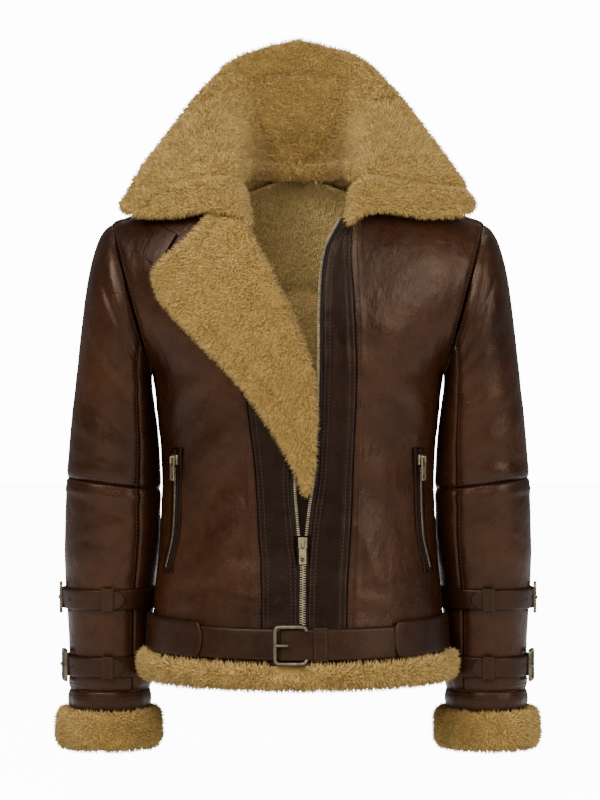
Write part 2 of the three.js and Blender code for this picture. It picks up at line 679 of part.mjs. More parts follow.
function makeHem() {
  // Leather band between the panels' foot and the fleece, open at the front zip
  const half = (from, to, profile) =>
    barFromSections(
      Array.from({ length: 19 }, (_, i) => {
        const angle = mix(from, to, i / 18);
        // The fleece is pressed in where the sleeve hangs beside it
        const past = clamp((Math.abs(angle) - 86) / 8, 0, 1);
        const press = 1 - 0.9 * past * clamp((140 - Math.abs(angle)) / 25, 0, 1);
        return profile.map((p) =>
          hoopPoint(angle, p.z - (p.sag ?? 0) * beltDrop(angle), p.off > 2 ? p.off * press : p.off),
        );
      }),
    );
  const band = [
    { z: PANEL_FOOT_Z - 1, off: 0 },
    { z: BAND_FOOT_Z, off: 0 },
    { z: BAND_FOOT_Z, off: -SKIN },
    { z: PANEL_FOOT_Z - 1, off: -SKIN },
  ];
  const roll = [
    { z: -570, off: 1.2, sag: 1.1 },
    { z: -569, off: 10, sag: 1.1 },
    { z: -576, off: 16, sag: 0.8 },
    { z: -592, off: 16 },
    { z: HEM_FOOT_Z, off: 9 },
    { z: HEM_FOOT_Z, off: -8 },
    { z: -594, off: -13 },
    { z: BAND_FOOT_Z - 0.6, off: -12 },
    { z: BAND_FOOT_Z - 0.6, off: 1.2 },
  ];
  const zipX = edgeX(LEFT_EDGE, "zipX", -0.9);
  const open = THREE.MathUtils.radToDeg(Math.asin(zipX / 188));
  const tooth = THREE.MathUtils.radToDeg(Math.asin(ZIP_GAP / 188));
  addPiece("hem_band_right", half(open + tooth, 179.95, band), LEATHER);
  addPiece("hem_band_left", half(open - tooth, -179.95, band), LEATHER);
  addPiece("hem_fur_right", half(open + 0.12, 179.95, roll), FUR);
  addPiece("hem_fur_left", half(open - 0.12, -179.95, roll), FUR);
}

function makeBelt() {
  const BELT_OFF = 1.8;
  const sections = Array.from({ length: 48 }, (_, i) => {
    const angle = i * 7.5;
    const top = BELT_TOP_Z - beltDrop(angle);
    return [
      hoopPoint(angle, top, BELT_OFF),
      hoopPoint(angle, top, BELT_OFF + BELT_THICK),
      hoopPoint(angle, top - BELT_WIDTH, BELT_OFF + BELT_THICK),
      hoopPoint(angle, top - BELT_WIDTH, BELT_OFF),
    ];
  });
  addPiece("belt", ringFromSections(sections), STRAP_LEATHER);
  // The free end passes over the belt from the buckle to the right
  const strip = (from, to, above, below, off, thick, steps) =>
    barFromSections(
      Array.from({ length: steps + 1 }, (_, i) => {
        const angle = mix(from, to, i / steps);
        const mid = BELT_TOP_Z - beltDrop(angle) - BELT_WIDTH / 2;
        return [
          hoopPoint(angle, mid + above, off),
          hoopPoint(angle, mid + above, off + thick),
          hoopPoint(angle, mid - below, off + thick),
          hoopPoint(angle, mid - below, off),
        ];
      }),
    );
  const over = BELT_OFF + BELT_THICK + SEAM_GAP;
  addPiece("belt_end", strip(-6.6, 38, 19.5, 19.5, over, BELT_THICK - 0.4, 12), STRAP_LEATHER);
  addPiece("belt_keeper", strip(5.6, 10.6, 21.5, 20.5, over + BELT_THICK - 0.1, 1.8, 2), STRAP_LEATHER);
  addPiece("belt_carrier_right", strip(39.5, 85, 25, 20.5, over, 2.4, 10), STRAP_LEATHER);
  addPiece("belt_carrier_left", strip(-39.5, -85, 25, 20.5, over, 2.4, 10), STRAP_LEATHER);
}

// A rounded rectangular frame of flat bar, standing in the XZ plane and facing -Y
function frameGeometry(long, tall, bar) {
  const outline = (w, h, r) => {
    const shape = new THREE.Shape();
    shape.moveTo(-w / 2 + r, -h / 2);
    shape.lineTo(w / 2 - r, -h / 2);
    shape.absarc(w / 2 - r, -h / 2 + r, r, -Math.PI / 2, 0);
    shape.absarc(w / 2 - r, h / 2 - r, r, 0, Math.PI / 2);
    shape.absarc(-w / 2 + r, h / 2 - r, r, Math.PI / 2, Math.PI);
    shape.absarc(-w / 2 + r, -h / 2 + r, r, Math.PI, 1.5 * Math.PI);
    return shape;
  };
  const shape = outline(long, tall, 6);
  shape.holes.push(outline(long - 2 * bar, tall - 2 * bar, 3));
  return new THREE.ExtrudeGeometry(shape, {
    depth: 2.8,
    curveSegments: 3,
    bevelEnabled: true,
    bevelThickness: 0.6,
    bevelSize: 0.6,
    bevelOffset: -0.6,
    bevelSegments: 1,
  }).rotateX(Math.PI / 2);
}
function strapBuckle(long, tall) {
  const bar = 4;
  const frame = frameGeometry(long, tall, bar);
  const post = new THREE.BoxGeometry(2.6, 2.6, tall - bar).translate(-1, -1.4, 0);
  const prong = new THREE.BoxGeometry(long / 2 + 4, 2, 3).translate(-long / 4, -4, 0);
  const heel = new THREE.BoxGeometry(4, 3.4, 4.4).translate(-1, -3.2, 0);
  return joined(frame, post, prong, heel);
}

// The free end comes out of the belt buckle over its hidden bar, so the frame is open to the right
function makeBeltBuckle() {
  const size = { long: 42, tall: 50, bar: 4.6 };
  const opening = new THREE.BoxGeometry(16, 12, size.tall - 2 * size.bar - 0.6).translate(21, 0, 0);
  const tip = new THREE.BoxGeometry(27, 2.2, 3.2).translate(-6, -5.2, 0);
  const heel = new THREE.BoxGeometry(5, 3.4, 4).translate(-size.long / 2 + 2.5, -4, 0);
  const frame = cutFrom(frameGeometry(size.long, size.tall, size.bar), opening);
  const buckle = addPiece("belt_buckle", joined(frame, tip, heel), METAL);
  const mid = hoopPoint(-2.4, BELT_TOP_Z - BELT_SAG - BELT_WIDTH / 2, 0);
  buckle.position.set(mid.x - 1.5, mid.y - BELT_THICK - 3.3, mid.z);
}

function makeStraps(side, word) {
  for (const s of STRAPS) {
    const top = downAt(s.z + STRAP_WIDTH / 2);
    const foot = downAt(s.z - STRAP_WIDTH / 2);
    const middle = downAt(s.z);
    const ring = sleeveRing(side, top, foot, STRAP_THICK, s.outset, 28);
    addPiece(`strap_${word}_${s.name}`, ring, STRAP_LEATHER);
    const buckle = addPiece(
      `strap_buckle_${word}_${s.name}`,
      strapBuckle(s.buckleLong, s.buckleTall),
      METAL,
    );
    const seat = sleevePoint(side, middle, s.turn, -STRAP_THICK - 2.4);
    const radial = sleevePoint(side, middle, s.turn, -STRAP_THICK - 3.4).sub(seat);
    buckle.position.copy(seat);
    buckle.rotation.z = Math.atan2(radial.x, -radial.y);
  }
}

// Collar surface: along from the right neck front (0) round the nape (1) to the left (2), and up
const COLLAR_STOPS = [
  { name: "seam", up: 0 },
  { name: "roll", up: 0.3 },
  { name: "middle", up: 0.65 },
  { name: "edge", up: 1 },
];
const RIB_COLUMNS = COLLAR_RIBS.map((rib) => {
  const row = { along: rib.along };
  for (const stop of COLLAR_STOPS)
    ["x", "y", "z"].forEach((axis, i) => {
      row[stop.name + axis] = rib[stop.name][i];
    });
  return row;
});
function collarPoint(along, up) {
  const side = along <= 1 ? 1 : -1;
  const across = along <= 1 ? along : 2 - along;
  const p = ["x", "y", "z"].map((axis) => {
    const column = COLLAR_STOPS.map((stop) => ({
      up: stop.up,
      at: readTable(RIB_COLUMNS, "along", stop.name + axis, across),
    }));
    return readTable(column, "up", "at", up);
  });
  return new THREE.Vector3(side * p[0], p[1], p[2]);
}
// The direction out of the collar's leather side. It turns over with the collar, so it isn't
// compared with a fixed direction.
function collarNormal(along, up) {
  const e = 0.004;
  const a = clamp(along, e, 2 - e);
  const u = clamp(up, e, 1 - e);
  const round = collarPoint(a + e, u).sub(collarPoint(a - e, u));
  const rise = collarPoint(a, u + e).sub(collarPoint(a, u - e));
  return round.cross(rise).normalize();
}
function collarWall(alongFrom, alongTo, upFrom, upTo, cols, rows) {
  const place = (u, v) => [mix(alongFrom, alongTo, u), mix(upFrom, upTo, v)];
  return panelWall(
    (u, v) => collarPoint(...place(u, v)),
    cols,
    rows,
    FLEECE,
    null,
    (u, v) => collarNormal(...place(u, v)),
  );
}

function makeCollar() {
  const g = 0.0012;
  const notch = NOTCH_ALONG;
  addPiece("collar_right", collarWall(FRONT_BAND_TO + g, notch - g, 0, 1, 12, 8), FUR);
  addPiece("collar_left", collarWall(2 - notch + g, 2 - FRONT_BAND_TO - g, 0, 1, 12, 8), FUR);
  addPiece("collar_back", collarWall(notch + g, 2 - notch - g, 0, BACK_BAND_FROM - g, 6, 6), FUR);
  const bandWall = collarWall(notch + g, 2 - notch - g, BACK_BAND_FROM + 6 * g, 1, 6, 2);
  addPiece("collar_band_back", bandWall, FUR);
  addPiece("collar_band_right", collarWall(0, FRONT_BAND_TO - 3 * g, 0, 1, 3, 8), FUR);
  addPiece("collar_band_left", collarWall(2 - FRONT_BAND_TO + 3 * g, 2, 0, 1, 3, 8), FUR);
}

const LAPEL_TABLE = LAPEL_ROWS.map((row, i) => ({ ...row, down: i / (LAPEL_ROWS.length - 1) }));
function makeLapel() {
  const rows = 16;
  const columns = [
    { share: 0, front: 3, back: -1 },
    { share: 0.04, front: 9, back: 0.8 },
    { share: 0.2, front: FLEECE + 2, back: 1.5 },
    { share: 0.5, front: FLEECE + 2.5, back: 1.5 },
    { share: 0.8, front: FLEECE + 2, back: 1.5 },
    { share: 0.96, front: FLEECE - 1, back: 1.5 },
    { share: 1, front: 7, back: 3 },
  ];
  const grid = (face) =>
    Array.from({ length: rows + 1 }, (_, r) => {
      const read = (column) => readTable(LAPEL_TABLE, "down", column, r / rows);
      return columns.map((c) => {
        const x = mix(read("foldX"), read("edgeX"), c.share);
        const z = mix(read("foldZ"), read("edgeZ"), c.share);
        return inFront(x, z, Math.max(c[face], 1.2));
      });
    });
  addPiece("lapel", wallFromGrids(grid("front"), grid("back")), FUR);
}

function makeUnderFlap() {
  const rows = 10;
  const grid = (off) =>
    Array.from({ length: rows + 1 }, (_, r) => {
      const z = mix(-536, -250, r / rows);
      return [-22, -5, 12, 30].map((x) => inFront(x, z, -SKIN - 1.5 - off));
    });
  addPiece("under_flap", wallFromGrids(grid(0), grid(4)), LEATHER);
}

function makeThroatStrap() {
  const ends = { top: { x: -166, z: -40 }, foot: { x: -186, z: -76 } };
  const grid = (off) =>
    Array.from({ length: 6 }, (_, r) => {
      const t = r / 5;
      const x = mix(ends.top.x, ends.foot.x, t);
      const z = mix(ends.top.z, ends.foot.z, t);
      const half = t < 0.8 ? 14 : 14 * Math.sqrt(1 - ((t - 0.8) / 0.2) ** 2 * 0.75);
      return [-1, 0, 1].map((s) => inFront(x + s * half * 0.9, z - s * half * 0.45, off));
    });
  addPiece("throat_strap", wallFromGrids(grid(3.9), grid(0.9)), STRAP_LEATHER);
}

// A run of zip: a flat bar of closed or open teeth on its tape, along x(z)
function toothBar(xAt, fromZ, toZ, half, thick, sink, steps) {
  return barFromSections(
    Array.from({ length: steps + 1 }, (_, i) => {
      const z = mix(fromZ, toZ, i / steps);
      const slope = slopeOf(xAt, z);
      const dx = half / Math.hypot(1, slope);
      const dz = -slope * dx;
      return [
        inFront(xAt(z) - dx, z - dz, sink),
        inFront(xAt(z) - dx, z - dz, sink + thick),
        inFront(xAt(z) + dx, z + dz, sink + thick),
        inFront(xAt(z) + dx, z + dz, sink),
      ];
    }),
  );
}

function makeMainZip() {
  const rightX = (z) => readTable(RIGHT_EDGE, "z", "zipX", z);
  const leftX = (z) => readTable(LEFT_EDGE, "z", "zipX", z);
  const middle = (z) => (rightX(z) + leftX(z)) / 2;
  const onRight = (z) => rightX(z) + 0.6;
  const onLeft = (z) => leftX(z) - 0.4;
  addPiece("zip_closed", toothBar(middle, -538, SLIDER.z - 7, 2.6, 2.8, -1.6, 8), METAL);
  addPiece("zip_row_right", toothBar(onRight, SLIDER.z + 7, -20, 2.2, 2.6, -1.4, 26), METAL);
  addPiece("zip_row_left", toothBar(onLeft, SLIDER.z + 7, -318, 2.2, 2.6, -1.4, 8), METAL);
}

// A slider with a bridge, in a frame that faces -Y, with the pull tab's hinge along X
function sliderGeometry(sink) {
  const depth = SLIDER.thick + sink;
  const body = new THREE.BoxGeometry(SLIDER.wide, depth, SLIDER.tall);
  body.translate(0, sink - depth / 2, 0);
  const bridge = new THREE.BoxGeometry(2.2, 6.6, 9).translate(0, -SLIDER.thick - 2.8, 0);
  const eye = new THREE.BoxGeometry(6, 3, 3).translate(0, HINGE_Y, 0);
  return cutFrom(joined(body, bridge), eye);
}
function tabGeometry() {
  const plate = new THREE.BoxGeometry(TAB.wide, TAB.thick, TAB.long);
  plate.translate(0, 0, -TAB.long / 2 + TAB.thick / 2);
  const slot = new THREE.BoxGeometry(TAB.hole, 6, 6.4).translate(0, 0, -TAB.thick / 2 - 3.2);
  const eye = new THREE.BoxGeometry(4, 6, 5).translate(0, 0, -TAB.long + 6);
  return cutFrom(plate, slot, eye);
}

function addSlider(word, x, z, turn, sink, raise) {
  const group = new THREE.Group();
  group.position.copy(inFront(x, z, raise));
  group.rotation.z = turn;
  jacket.add(group);
  const slider = new THREE.Mesh(sliderGeometry(sink), new THREE.MeshStandardMaterial(METAL));
  slider.name = `zip_slider_${word}`;
  group.add(slider);
  const tab = new THREE.Mesh(tabGeometry(), new THREE.MeshStandardMaterial(METAL));
  tab.name = `zip_pull_${word}`;
  tab.position.set(0, HINGE_Y, 0);
  group.add(tab);
}

// Pocket openings: a welt with the zip in it, near each side
const POCKET_ROWS = [
  { z: -330, x: 152 },
  { z: -420, x: 155 },
  { z: -462, x: 164 },
];
function makePocket(side, word) {
  const xAt = (z) => side * readTable(POCKET_ROWS, "z", "x", z);
  addPiece(`pocket_welt_${word}`, toothBar(xAt, -470, -312, 6.5, 1.4, 1, 9), LEATHER);
  addPiece(`pocket_zip_${word}`, toothBar(xAt, -464, -338, 1.8, 1.4, 2.8, 8), METAL);
  const z = -327;
  const normal = bodyNormal(xAt(z), z);
  addSlider(`pocket_${word}`, xAt(z), z, Math.atan2(normal.x, -normal.y), 0, 2.9);
}

makeFronts();
makeBack();
makeHem();
makeBelt();
makeBeltBuckle();
makeCollar();
makeLapel();
makeUnderFlap();
makeThroatStrap();
makeMainZip();
addSlider("main", 5.9, SLIDER.z, 0, 2, 0);
for (const [side, word] of [
  [1, "right"],
  [-1, "left"],
]) {
  makeSleeve(side, word);
  makeStraps(side, word);
  makePocket(side, word);
}

export default jacket;
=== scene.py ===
# %% [markdown]
# ## A sheepskin flying jacket
# The jacket is leather on the outside and sheep's wool on the inside. The wool shows where the skin
# turns over: at the collar, the lapel, the hem and the cuffs. It is modelled as worn, with no wearer.
# The frame holds the solids from CAD, in metres, with +Z up and the front towards -Y.

# %% Load the frame
import json
import math
import bmesh
import bpy
import numpy as np
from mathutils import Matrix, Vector

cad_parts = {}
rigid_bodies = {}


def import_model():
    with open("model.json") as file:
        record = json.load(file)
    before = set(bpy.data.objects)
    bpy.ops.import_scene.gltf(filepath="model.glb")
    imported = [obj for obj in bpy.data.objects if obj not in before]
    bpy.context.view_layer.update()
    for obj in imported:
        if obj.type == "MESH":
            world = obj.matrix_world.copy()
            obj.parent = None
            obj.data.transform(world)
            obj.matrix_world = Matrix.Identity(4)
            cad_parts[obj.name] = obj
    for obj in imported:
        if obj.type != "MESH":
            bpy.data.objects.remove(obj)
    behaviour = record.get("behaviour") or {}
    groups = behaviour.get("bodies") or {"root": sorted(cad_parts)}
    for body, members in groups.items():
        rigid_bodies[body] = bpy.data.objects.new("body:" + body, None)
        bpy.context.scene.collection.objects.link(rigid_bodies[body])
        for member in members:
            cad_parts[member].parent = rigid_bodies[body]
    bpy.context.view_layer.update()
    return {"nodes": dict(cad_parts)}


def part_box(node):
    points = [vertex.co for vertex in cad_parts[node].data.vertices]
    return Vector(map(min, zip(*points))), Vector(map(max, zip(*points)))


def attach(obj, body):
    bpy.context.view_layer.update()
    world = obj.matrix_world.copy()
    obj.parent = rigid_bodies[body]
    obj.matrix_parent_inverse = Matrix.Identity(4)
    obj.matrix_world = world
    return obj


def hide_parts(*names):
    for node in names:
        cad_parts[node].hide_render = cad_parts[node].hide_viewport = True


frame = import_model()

rng = np.random.default_rng(7)

# %% [markdown]
# ## Sizes in short tables
# The form is a set of curves read from tables, the same ones that made the CAD solids, in
# millimetres. A smooth curve runs through the rows of each, so a few numbers give a whole surface.
# The pieces made from them later lie on the solids. A few parts, such as the collar's front ends,
# depart from them by some millimetres.

# %% Tables of the form
ARMPIT, HEM_FOOT, CHEST_DEPTH, BACK_SHIFT = -217, -602, 143, 8
TIP_X, TIP_Z, SLOPE = 240, -24, 0.39
ARMHOLE_X, ARMHOLE_HALF = 187.5, 68


def table(columns, *rows):
    """Rows of numbers as named columns, with the first column rising."""
    a = np.array(rows, float)
    a = a[::-1] if a[0, 0] > a[-1, 0] else a
    return {name: a[:, i] for i, name in enumerate(columns.split())}


BODY = table("z width depth", (-217, 187, 143), (-270, 181, 139), (-342, 175, 131),
             (-430, 178, 131), (-497, 184, 137), (-560, 188, 143), (-604, 190, 146))
SLEEVE = table("down ox oz ix iz depth y", *((i / 10, *row) for i, row in enumerate((
    (240, -24, 188.4, -217, 68, 8), (257, -44, 188.8, -226, 72, 8), (269, -85, 188, -240, 72, 9),
    (279, -150, 185, -262, 70, 11), (288, -230, 181, -295, 66, 13), (296, -305, 178.5, -335, 63, 16),
    (301, -375, 178.5, -385, 62, 20), (303, -440, 180, -440, 61, 26), (302, -500, 187, -500, 58, 33),
    (299, -570, 191, -570, 55, 42), (299, -654.5, 193.5, -654.5, 53, 48)))))
RIGHT = table("z zip seam", (-604, 6, 62), (-497, 7.5, 62), (-440, 10, 65), (-390, 15, 68),
              (-342, 21.5, 69.5), (-220, 26.5, 74), (-115, 28, 70), (-65, 34, 67), (-35, 48, 70),
              (-12, 62, 72))
LEFT = table("z zip seam", (-604, 5, -46), (-450, 3.5, -47), (-430, 0.5, -49), (-342, -5, -54),
             (-290, 4, -60), (-200, 2, -72), (-115, -20, -84), (-50, -50, -95), (-12, -66, -100))
LAPEL = table("down fx fz ex ez", *((i / 11, *row) for i, row in enumerate((
    (-70, -10, -106, -17), (-66, -22, -135, -52), (-57, -50, -174, -84), (-42, -78, -178, -104),
    (-26, -110, -170, -124), (-6, -152, -142, -157), (9, -190, -106, -193), (19, -227, -72, -229),
    (21, -262, -45, -266), (21, -300, -22, -302), (18, -338, -3, -338), (13, -368, 8, -368)))))
RIB_ALONG = np.array([0, 0.25, 0.5, 0.75, 0.88, 1])
RIB_UP = np.array([0, 0.3, 0.65, 1])
RIBS = np.array([
    [[62, -86, -13], [84, -100, -4], [152, -76, -22], [228, -44, -18]],
    [[78, -48, 29], [92, -58, 42], [148, -38, 40], [203, -14, 32]],
    [[74, -2, 43.5], [84, 0, 82], [120, 16, 104], [160, 30, 98]],
    [[54, 42, 47], [72, 53, 100], [92, 62, 142], [112, 70, 168]],
    [[33, 63, 46], [46, 75, 104], [62, 85, 158], [76, 91, 201]],
    [[0, 68.5, 55], [0, 83, 108], [0, 95, 168], [0, 104, 225]]], float)
print("tables:", len(BODY["z"]), "body rings,", len(SLEEVE["down"]), "sleeve rings")

# %% [markdown]
# ## Smooth curves
# A row of the tables only says where the form is at one height. Between rows it is blended with a
# cubic curve that keeps the slope of its neighbours, so the leather has no kinks across the rows.


# %% Curve and step
def curve(keys, values, at):
    """A smooth curve through rows, read at many places."""
    at = np.asarray(at, float)
    i = np.clip(np.searchsorted(keys, at, side="right") - 1, 0, len(keys) - 2)
    before, after = np.maximum(i - 1, 0), np.minimum(i + 2, len(keys) - 1)
    span = keys[i + 1] - keys[i]
    wide = at.shape + (1,) * (values.ndim - 1)
    t = np.clip((at - keys[i]) / span, 0, 1).reshape(wide)
    slope_in = (values[i + 1] - values[before]) * (span / (keys[i + 1] - keys[before])).reshape(wide)
    slope_out = (values[after] - values[i]) * (span / (keys[after] - keys[i])).reshape(wide)
    t2, t3 = t * t, t * t * t
    return (values[i] * (2 * t3 - 3 * t2 + 1) + slope_in * (t3 - 2 * t2 + t)
            + values[i + 1] * (3 * t2 - 2 * t3) + slope_out * (t3 - t2))


def smooth(t):
    """An even step from 0 to 1 as t goes from 0 to 1."""
    t = np.clip(t, 0, 1)
    return t * t * (3 - 2 * t)


print("half-width at the belt:", curve(BODY["z"], BODY["width"], np.array(-540.0)).round(1), "mm")

# %% [markdown]
# ## The body's surface
# `body` gives a point for an angle round the chest and a level up it: below the armpit the levels
# are flat rings, and above it they rise to the shoulder ridge. It takes whole arrays at once.


# %% Body surface
def shoulder_z(x):
    """Height of the shoulder ridge above a place across the body."""
    return TIP_Z + SLOPE * (TIP_X - np.abs(x))


def rings(level, back):
    """Half-width, half-depth, rise, end angle and shift of each level of the body."""
    z = ARMPIT + level * (ARMPIT - HEM_FOOT)
    rise = np.where(level > 0, np.sin(np.clip(level, 0, 1) * math.pi / 2), 0)
    fall = np.maximum(1 - rise * rise, 1e-9) ** 0.375
    b = np.maximum((CHEST_DEPTH + np.where(back, -6 * rise, 0)) * fall, 1)
    tall, lean = TIP_Z - ARMPIT, SLOPE * (TIP_X - ARMHOLE_X)
    up = np.clip(rise * (tall + lean) / (tall + rise * lean), 0, 1)
    edge_x = ARMHOLE_X + (TIP_X - ARMHOLE_X) * up
    edge_depth = ARMHOLE_HALF * 2 * np.sqrt(np.maximum(up * (1 - up), 0))
    end = np.where(level > 0, 90 - np.degrees(np.arcsin(np.clip(edge_depth / b, 0, 0.97))), 90)
    a = np.where(level > 0, edge_x / np.sin(np.radians(end)), curve(BODY["z"], BODY["width"], z))
    b = np.where(level > 0, b, curve(BODY["z"], BODY["depth"], z))
    shift = BACK_SHIFT * (1 + np.minimum(level, 0))
    return a, b, rise, end, shift, z


def body(angle, level, folds=None):
    """A point of the body for an angle from the front's middle and a level."""
    angle, level = np.broadcast_arrays(np.asarray(angle, float), np.asarray(level, float))
    back = np.abs(angle) > 90
    a, b, rise, end, shift, z_low = rings(level, back)
    turn = np.radians(angle)
    x = a * np.sin(turn)
    z = np.where(level > 0, ARMPIT + rise * (shoulder_z(x) - ARMPIT), z_low)
    y = shift - b * np.cos(turn)
    if folds is not None:
        y = y + np.where(back, 1, -1) * folds(x, z, back) * np.abs(np.cos(turn))
    return np.stack([x, y, z], -1)


def level_at(x, z):
    """The level of a place seen from the front."""
    rise = np.clip((z - ARMPIT) / (shoulder_z(x) - ARMPIT), 0, 1)
    return np.where(z <= ARMPIT, (z - ARMPIT) / (ARMPIT - HEM_FOOT), np.arcsin(rise) * 2 / math.pi)


def angle_at(x, z):
    """The angle round the front of a place seen from the front."""
    a = rings(level_at(x, z), np.zeros(np.shape(x), bool))[0]
    return np.degrees(np.arcsin(np.clip(x / a, -1, 1)))


print("chest front at", np.round(body(0.0, 0.0), 1), "mm")

# %% [markdown]
# ## Sleeve and collar surfaces
# `sleeve` gives a point for a share of the way down and an angle round the arm. `collar` gives one
# for a place round the neck, from one front end at 0 to the other at 2, and a share up the collar,
# between ribs that the tables hold.


# %% Sleeve and collar surfaces
def sleeve(side, down, around, folds=None, inset=0):
    """A point of a sleeve; a positive inset moves it into the arm, in mm."""
    down, around = np.broadcast_arrays(np.asarray(down, float), np.asarray(around, float))
    read = {c: curve(SLEEVE["down"], SLEEVE[c], down) for c in ("ox", "oz", "ix", "iz", "depth", "y")}
    cx, cz = (read["ox"] + read["ix"]) / 2, (read["oz"] + read["iz"]) / 2
    hx, hz = read["ox"] - cx, read["oz"] - cz
    radius = np.hypot(hx, hz)
    grow = (0 if folds is None else folds(down, around, side)) - inset
    c, s = np.cos(np.radians(around)), np.sin(np.radians(around))
    k = (radius + grow) / radius * c
    return np.stack([side * (cx + hx * k), read["y"] - (read["depth"] + grow) * s, cz + hz * k], -1)


def collar(along, up):
    """A point of the collar's leather side."""
    along, up = np.broadcast_arrays(np.asarray(along, float), np.asarray(up, float))
    across = np.where(along <= 1, along, 2 - along)
    own = curve(RIB_ALONG, RIBS, across)
    i = np.clip(np.searchsorted(RIB_UP, up, side="right") - 1, 0, 2)
    pick = lambda k: np.take_along_axis(own, k[..., None, None], -2)[..., 0, :]
    before, after = np.maximum(i - 1, 0), np.minimum(i + 2, 3)
    span = (RIB_UP[i + 1] - RIB_UP[i])[..., None]
    t = np.clip((up[..., None] - RIB_UP[i][..., None]) / span, 0, 1)
    s_in = (pick(i + 1) - pick(before)) * span / (RIB_UP[i + 1] - RIB_UP[before])[..., None]
    s_out = (pick(after) - pick(i)) * span / (RIB_UP[after] - RIB_UP[i])[..., None]
    t2, t3 = t * t, t * t * t
    p = (pick(i) * (2 * t3 - 3 * t2 + 1) + s_in * (t3 - 2 * t2 + t)
         + pick(i + 1) * (3 * t2 - 2 * t3) + s_out * (t3 - t2))
    return p * np.stack([np.where(along <= 1, 1, -1), np.ones_like(along), np.ones_like(along)], -1)


print("cuff seam at", np.round(sleeve(1, 1.0, 0.0), 1), "collar's top at", collar(1.0, 1.0).round(1))

# %% [markdown]
# ## Places on the front
# The zips, the lapel and the pockets are laid out as seen from the front, by x and z. These helpers
# find the place on the front for that, the way its surface faces, and a point some way off it.


# %% Places on the front
def front(x, z):
    x, z = np.broadcast_arrays(np.asarray(x, float), np.asarray(z, float))
    return body(angle_at(x, z), level_at(x, z))


def unit(v):
    """Vectors of length 1."""
    return v / np.maximum(np.linalg.norm(v, axis=-1, keepdims=True), 1e-12)


def front_normal(x, z):
    n = unit(np.cross(front(x + 1.5, z) - front(x - 1.5, z), front(x, z + 1.5) - front(x, z - 1.5)))
    return n * np.where(n[..., 1:2] > 0, -1, 1)


def in_front(x, z, off):
    x, z = np.broadcast_arrays(np.asarray(x, float), np.asarray(z, float))
    return front(x, z) + front_normal(x, z) * np.asarray(off)[..., None]


print("the front at the armpits:", np.round(front(0.0, -217.0), 1), "mm")

# %% [markdown]
# ## Materials
# Leather is dark and half glossy, lighter and darker in soft patches at random, with a fine pebble
# grain. Fleece is matt, with pale tips over brown roots. The patterns are worked out from place on the
# object, so there are no pictures in them.


# %% Material helpers
def link(tree, a, b):
    tree.links.new(a, b)


def new_material(name, rough=0.5, metallic=0.0, sheen=0.0, colour=None):
    """A material, its node tree and its main shader."""
    m = bpy.data.materials.new(name)
    m.use_nodes = True
    b = m.node_tree.nodes["Principled BSDF"]
    b.inputs["Roughness"].default_value = rough
    b.inputs["Metallic"].default_value = metallic
    b.inputs["Sheen Weight"].default_value = sheen
    b.inputs["Specular IOR Level"].default_value = 0.3
    if colour is not None:
        b.inputs["Base Color"].default_value = (*colour, 1)
    return m, m.node_tree, b


def pattern(t, kind, scale, stretch=(1, 1, 1), detail=3.0):
    """A noise or cell pattern in object space; scale is features per metre."""
    place = t.nodes.new("ShaderNodeTexCoord")
    m = t.nodes.new("ShaderNodeMapping")
    m.inputs["Scale"].default_value = stretch
    link(t, place.outputs["Object"], m.inputs["Vector"])
    n = t.nodes.new("ShaderNodeTexNoise" if kind == "noise" else "ShaderNodeTexVoronoi")
    n.inputs["Scale"].default_value = scale
    if kind == "noise":
        n.inputs["Detail"].default_value = detail
    link(t, m.outputs["Vector"], n.inputs["Vector"])
    return n.outputs["Fac"] if kind == "noise" else n.outputs["Distance"]


def span(t, value, low, high, to_low=0.0, to_high=1.0):
    """A value's range stretched to another one."""
    n = t.nodes.new("ShaderNodeMapRange")
    for key, v in zip(("From Min", "From Max", "To Min", "To Max"), (low, high, to_low, to_high)):
        n.inputs[key].default_value = v
    link(t, value, n.inputs["Value"])
    return n.outputs["Result"]


def blend(t, share, a, b, kind="MIX"):
    """Two colours mixed; each input is a number, a colour or a socket."""
    n = t.nodes.new("ShaderNodeMix")
    n.data_type = "RGBA"
    n.blend_type = kind
    for key, kind_of, v in (("Factor", "VALUE", share), ("A", "RGBA", a), ("B", "RGBA", b)):
        s = [i for i in n.inputs if i.name == key and i.type == kind_of][0]
        if isinstance(v, (int, float)):
            s.default_value = v
        elif isinstance(v, tuple):
            s.default_value = (*v, 1)
        else:
            link(t, v, s)
    return [o for o in n.outputs if o.type == "RGBA"][0]


def bump(t, height, metres, strength, after=None):
    """A normal bent by a height, on top of another bump where one is given."""
    n = t.nodes.new("ShaderNodeBump")
    n.inputs["Strength"].default_value = strength
    n.inputs["Distance"].default_value = metres
    link(t, height, n.inputs["Height"])
    if after is not None:
        link(t, after, n.inputs["Normal"])
    return n.outputs["Normal"]


print("patterns read Object coordinates, in metres")
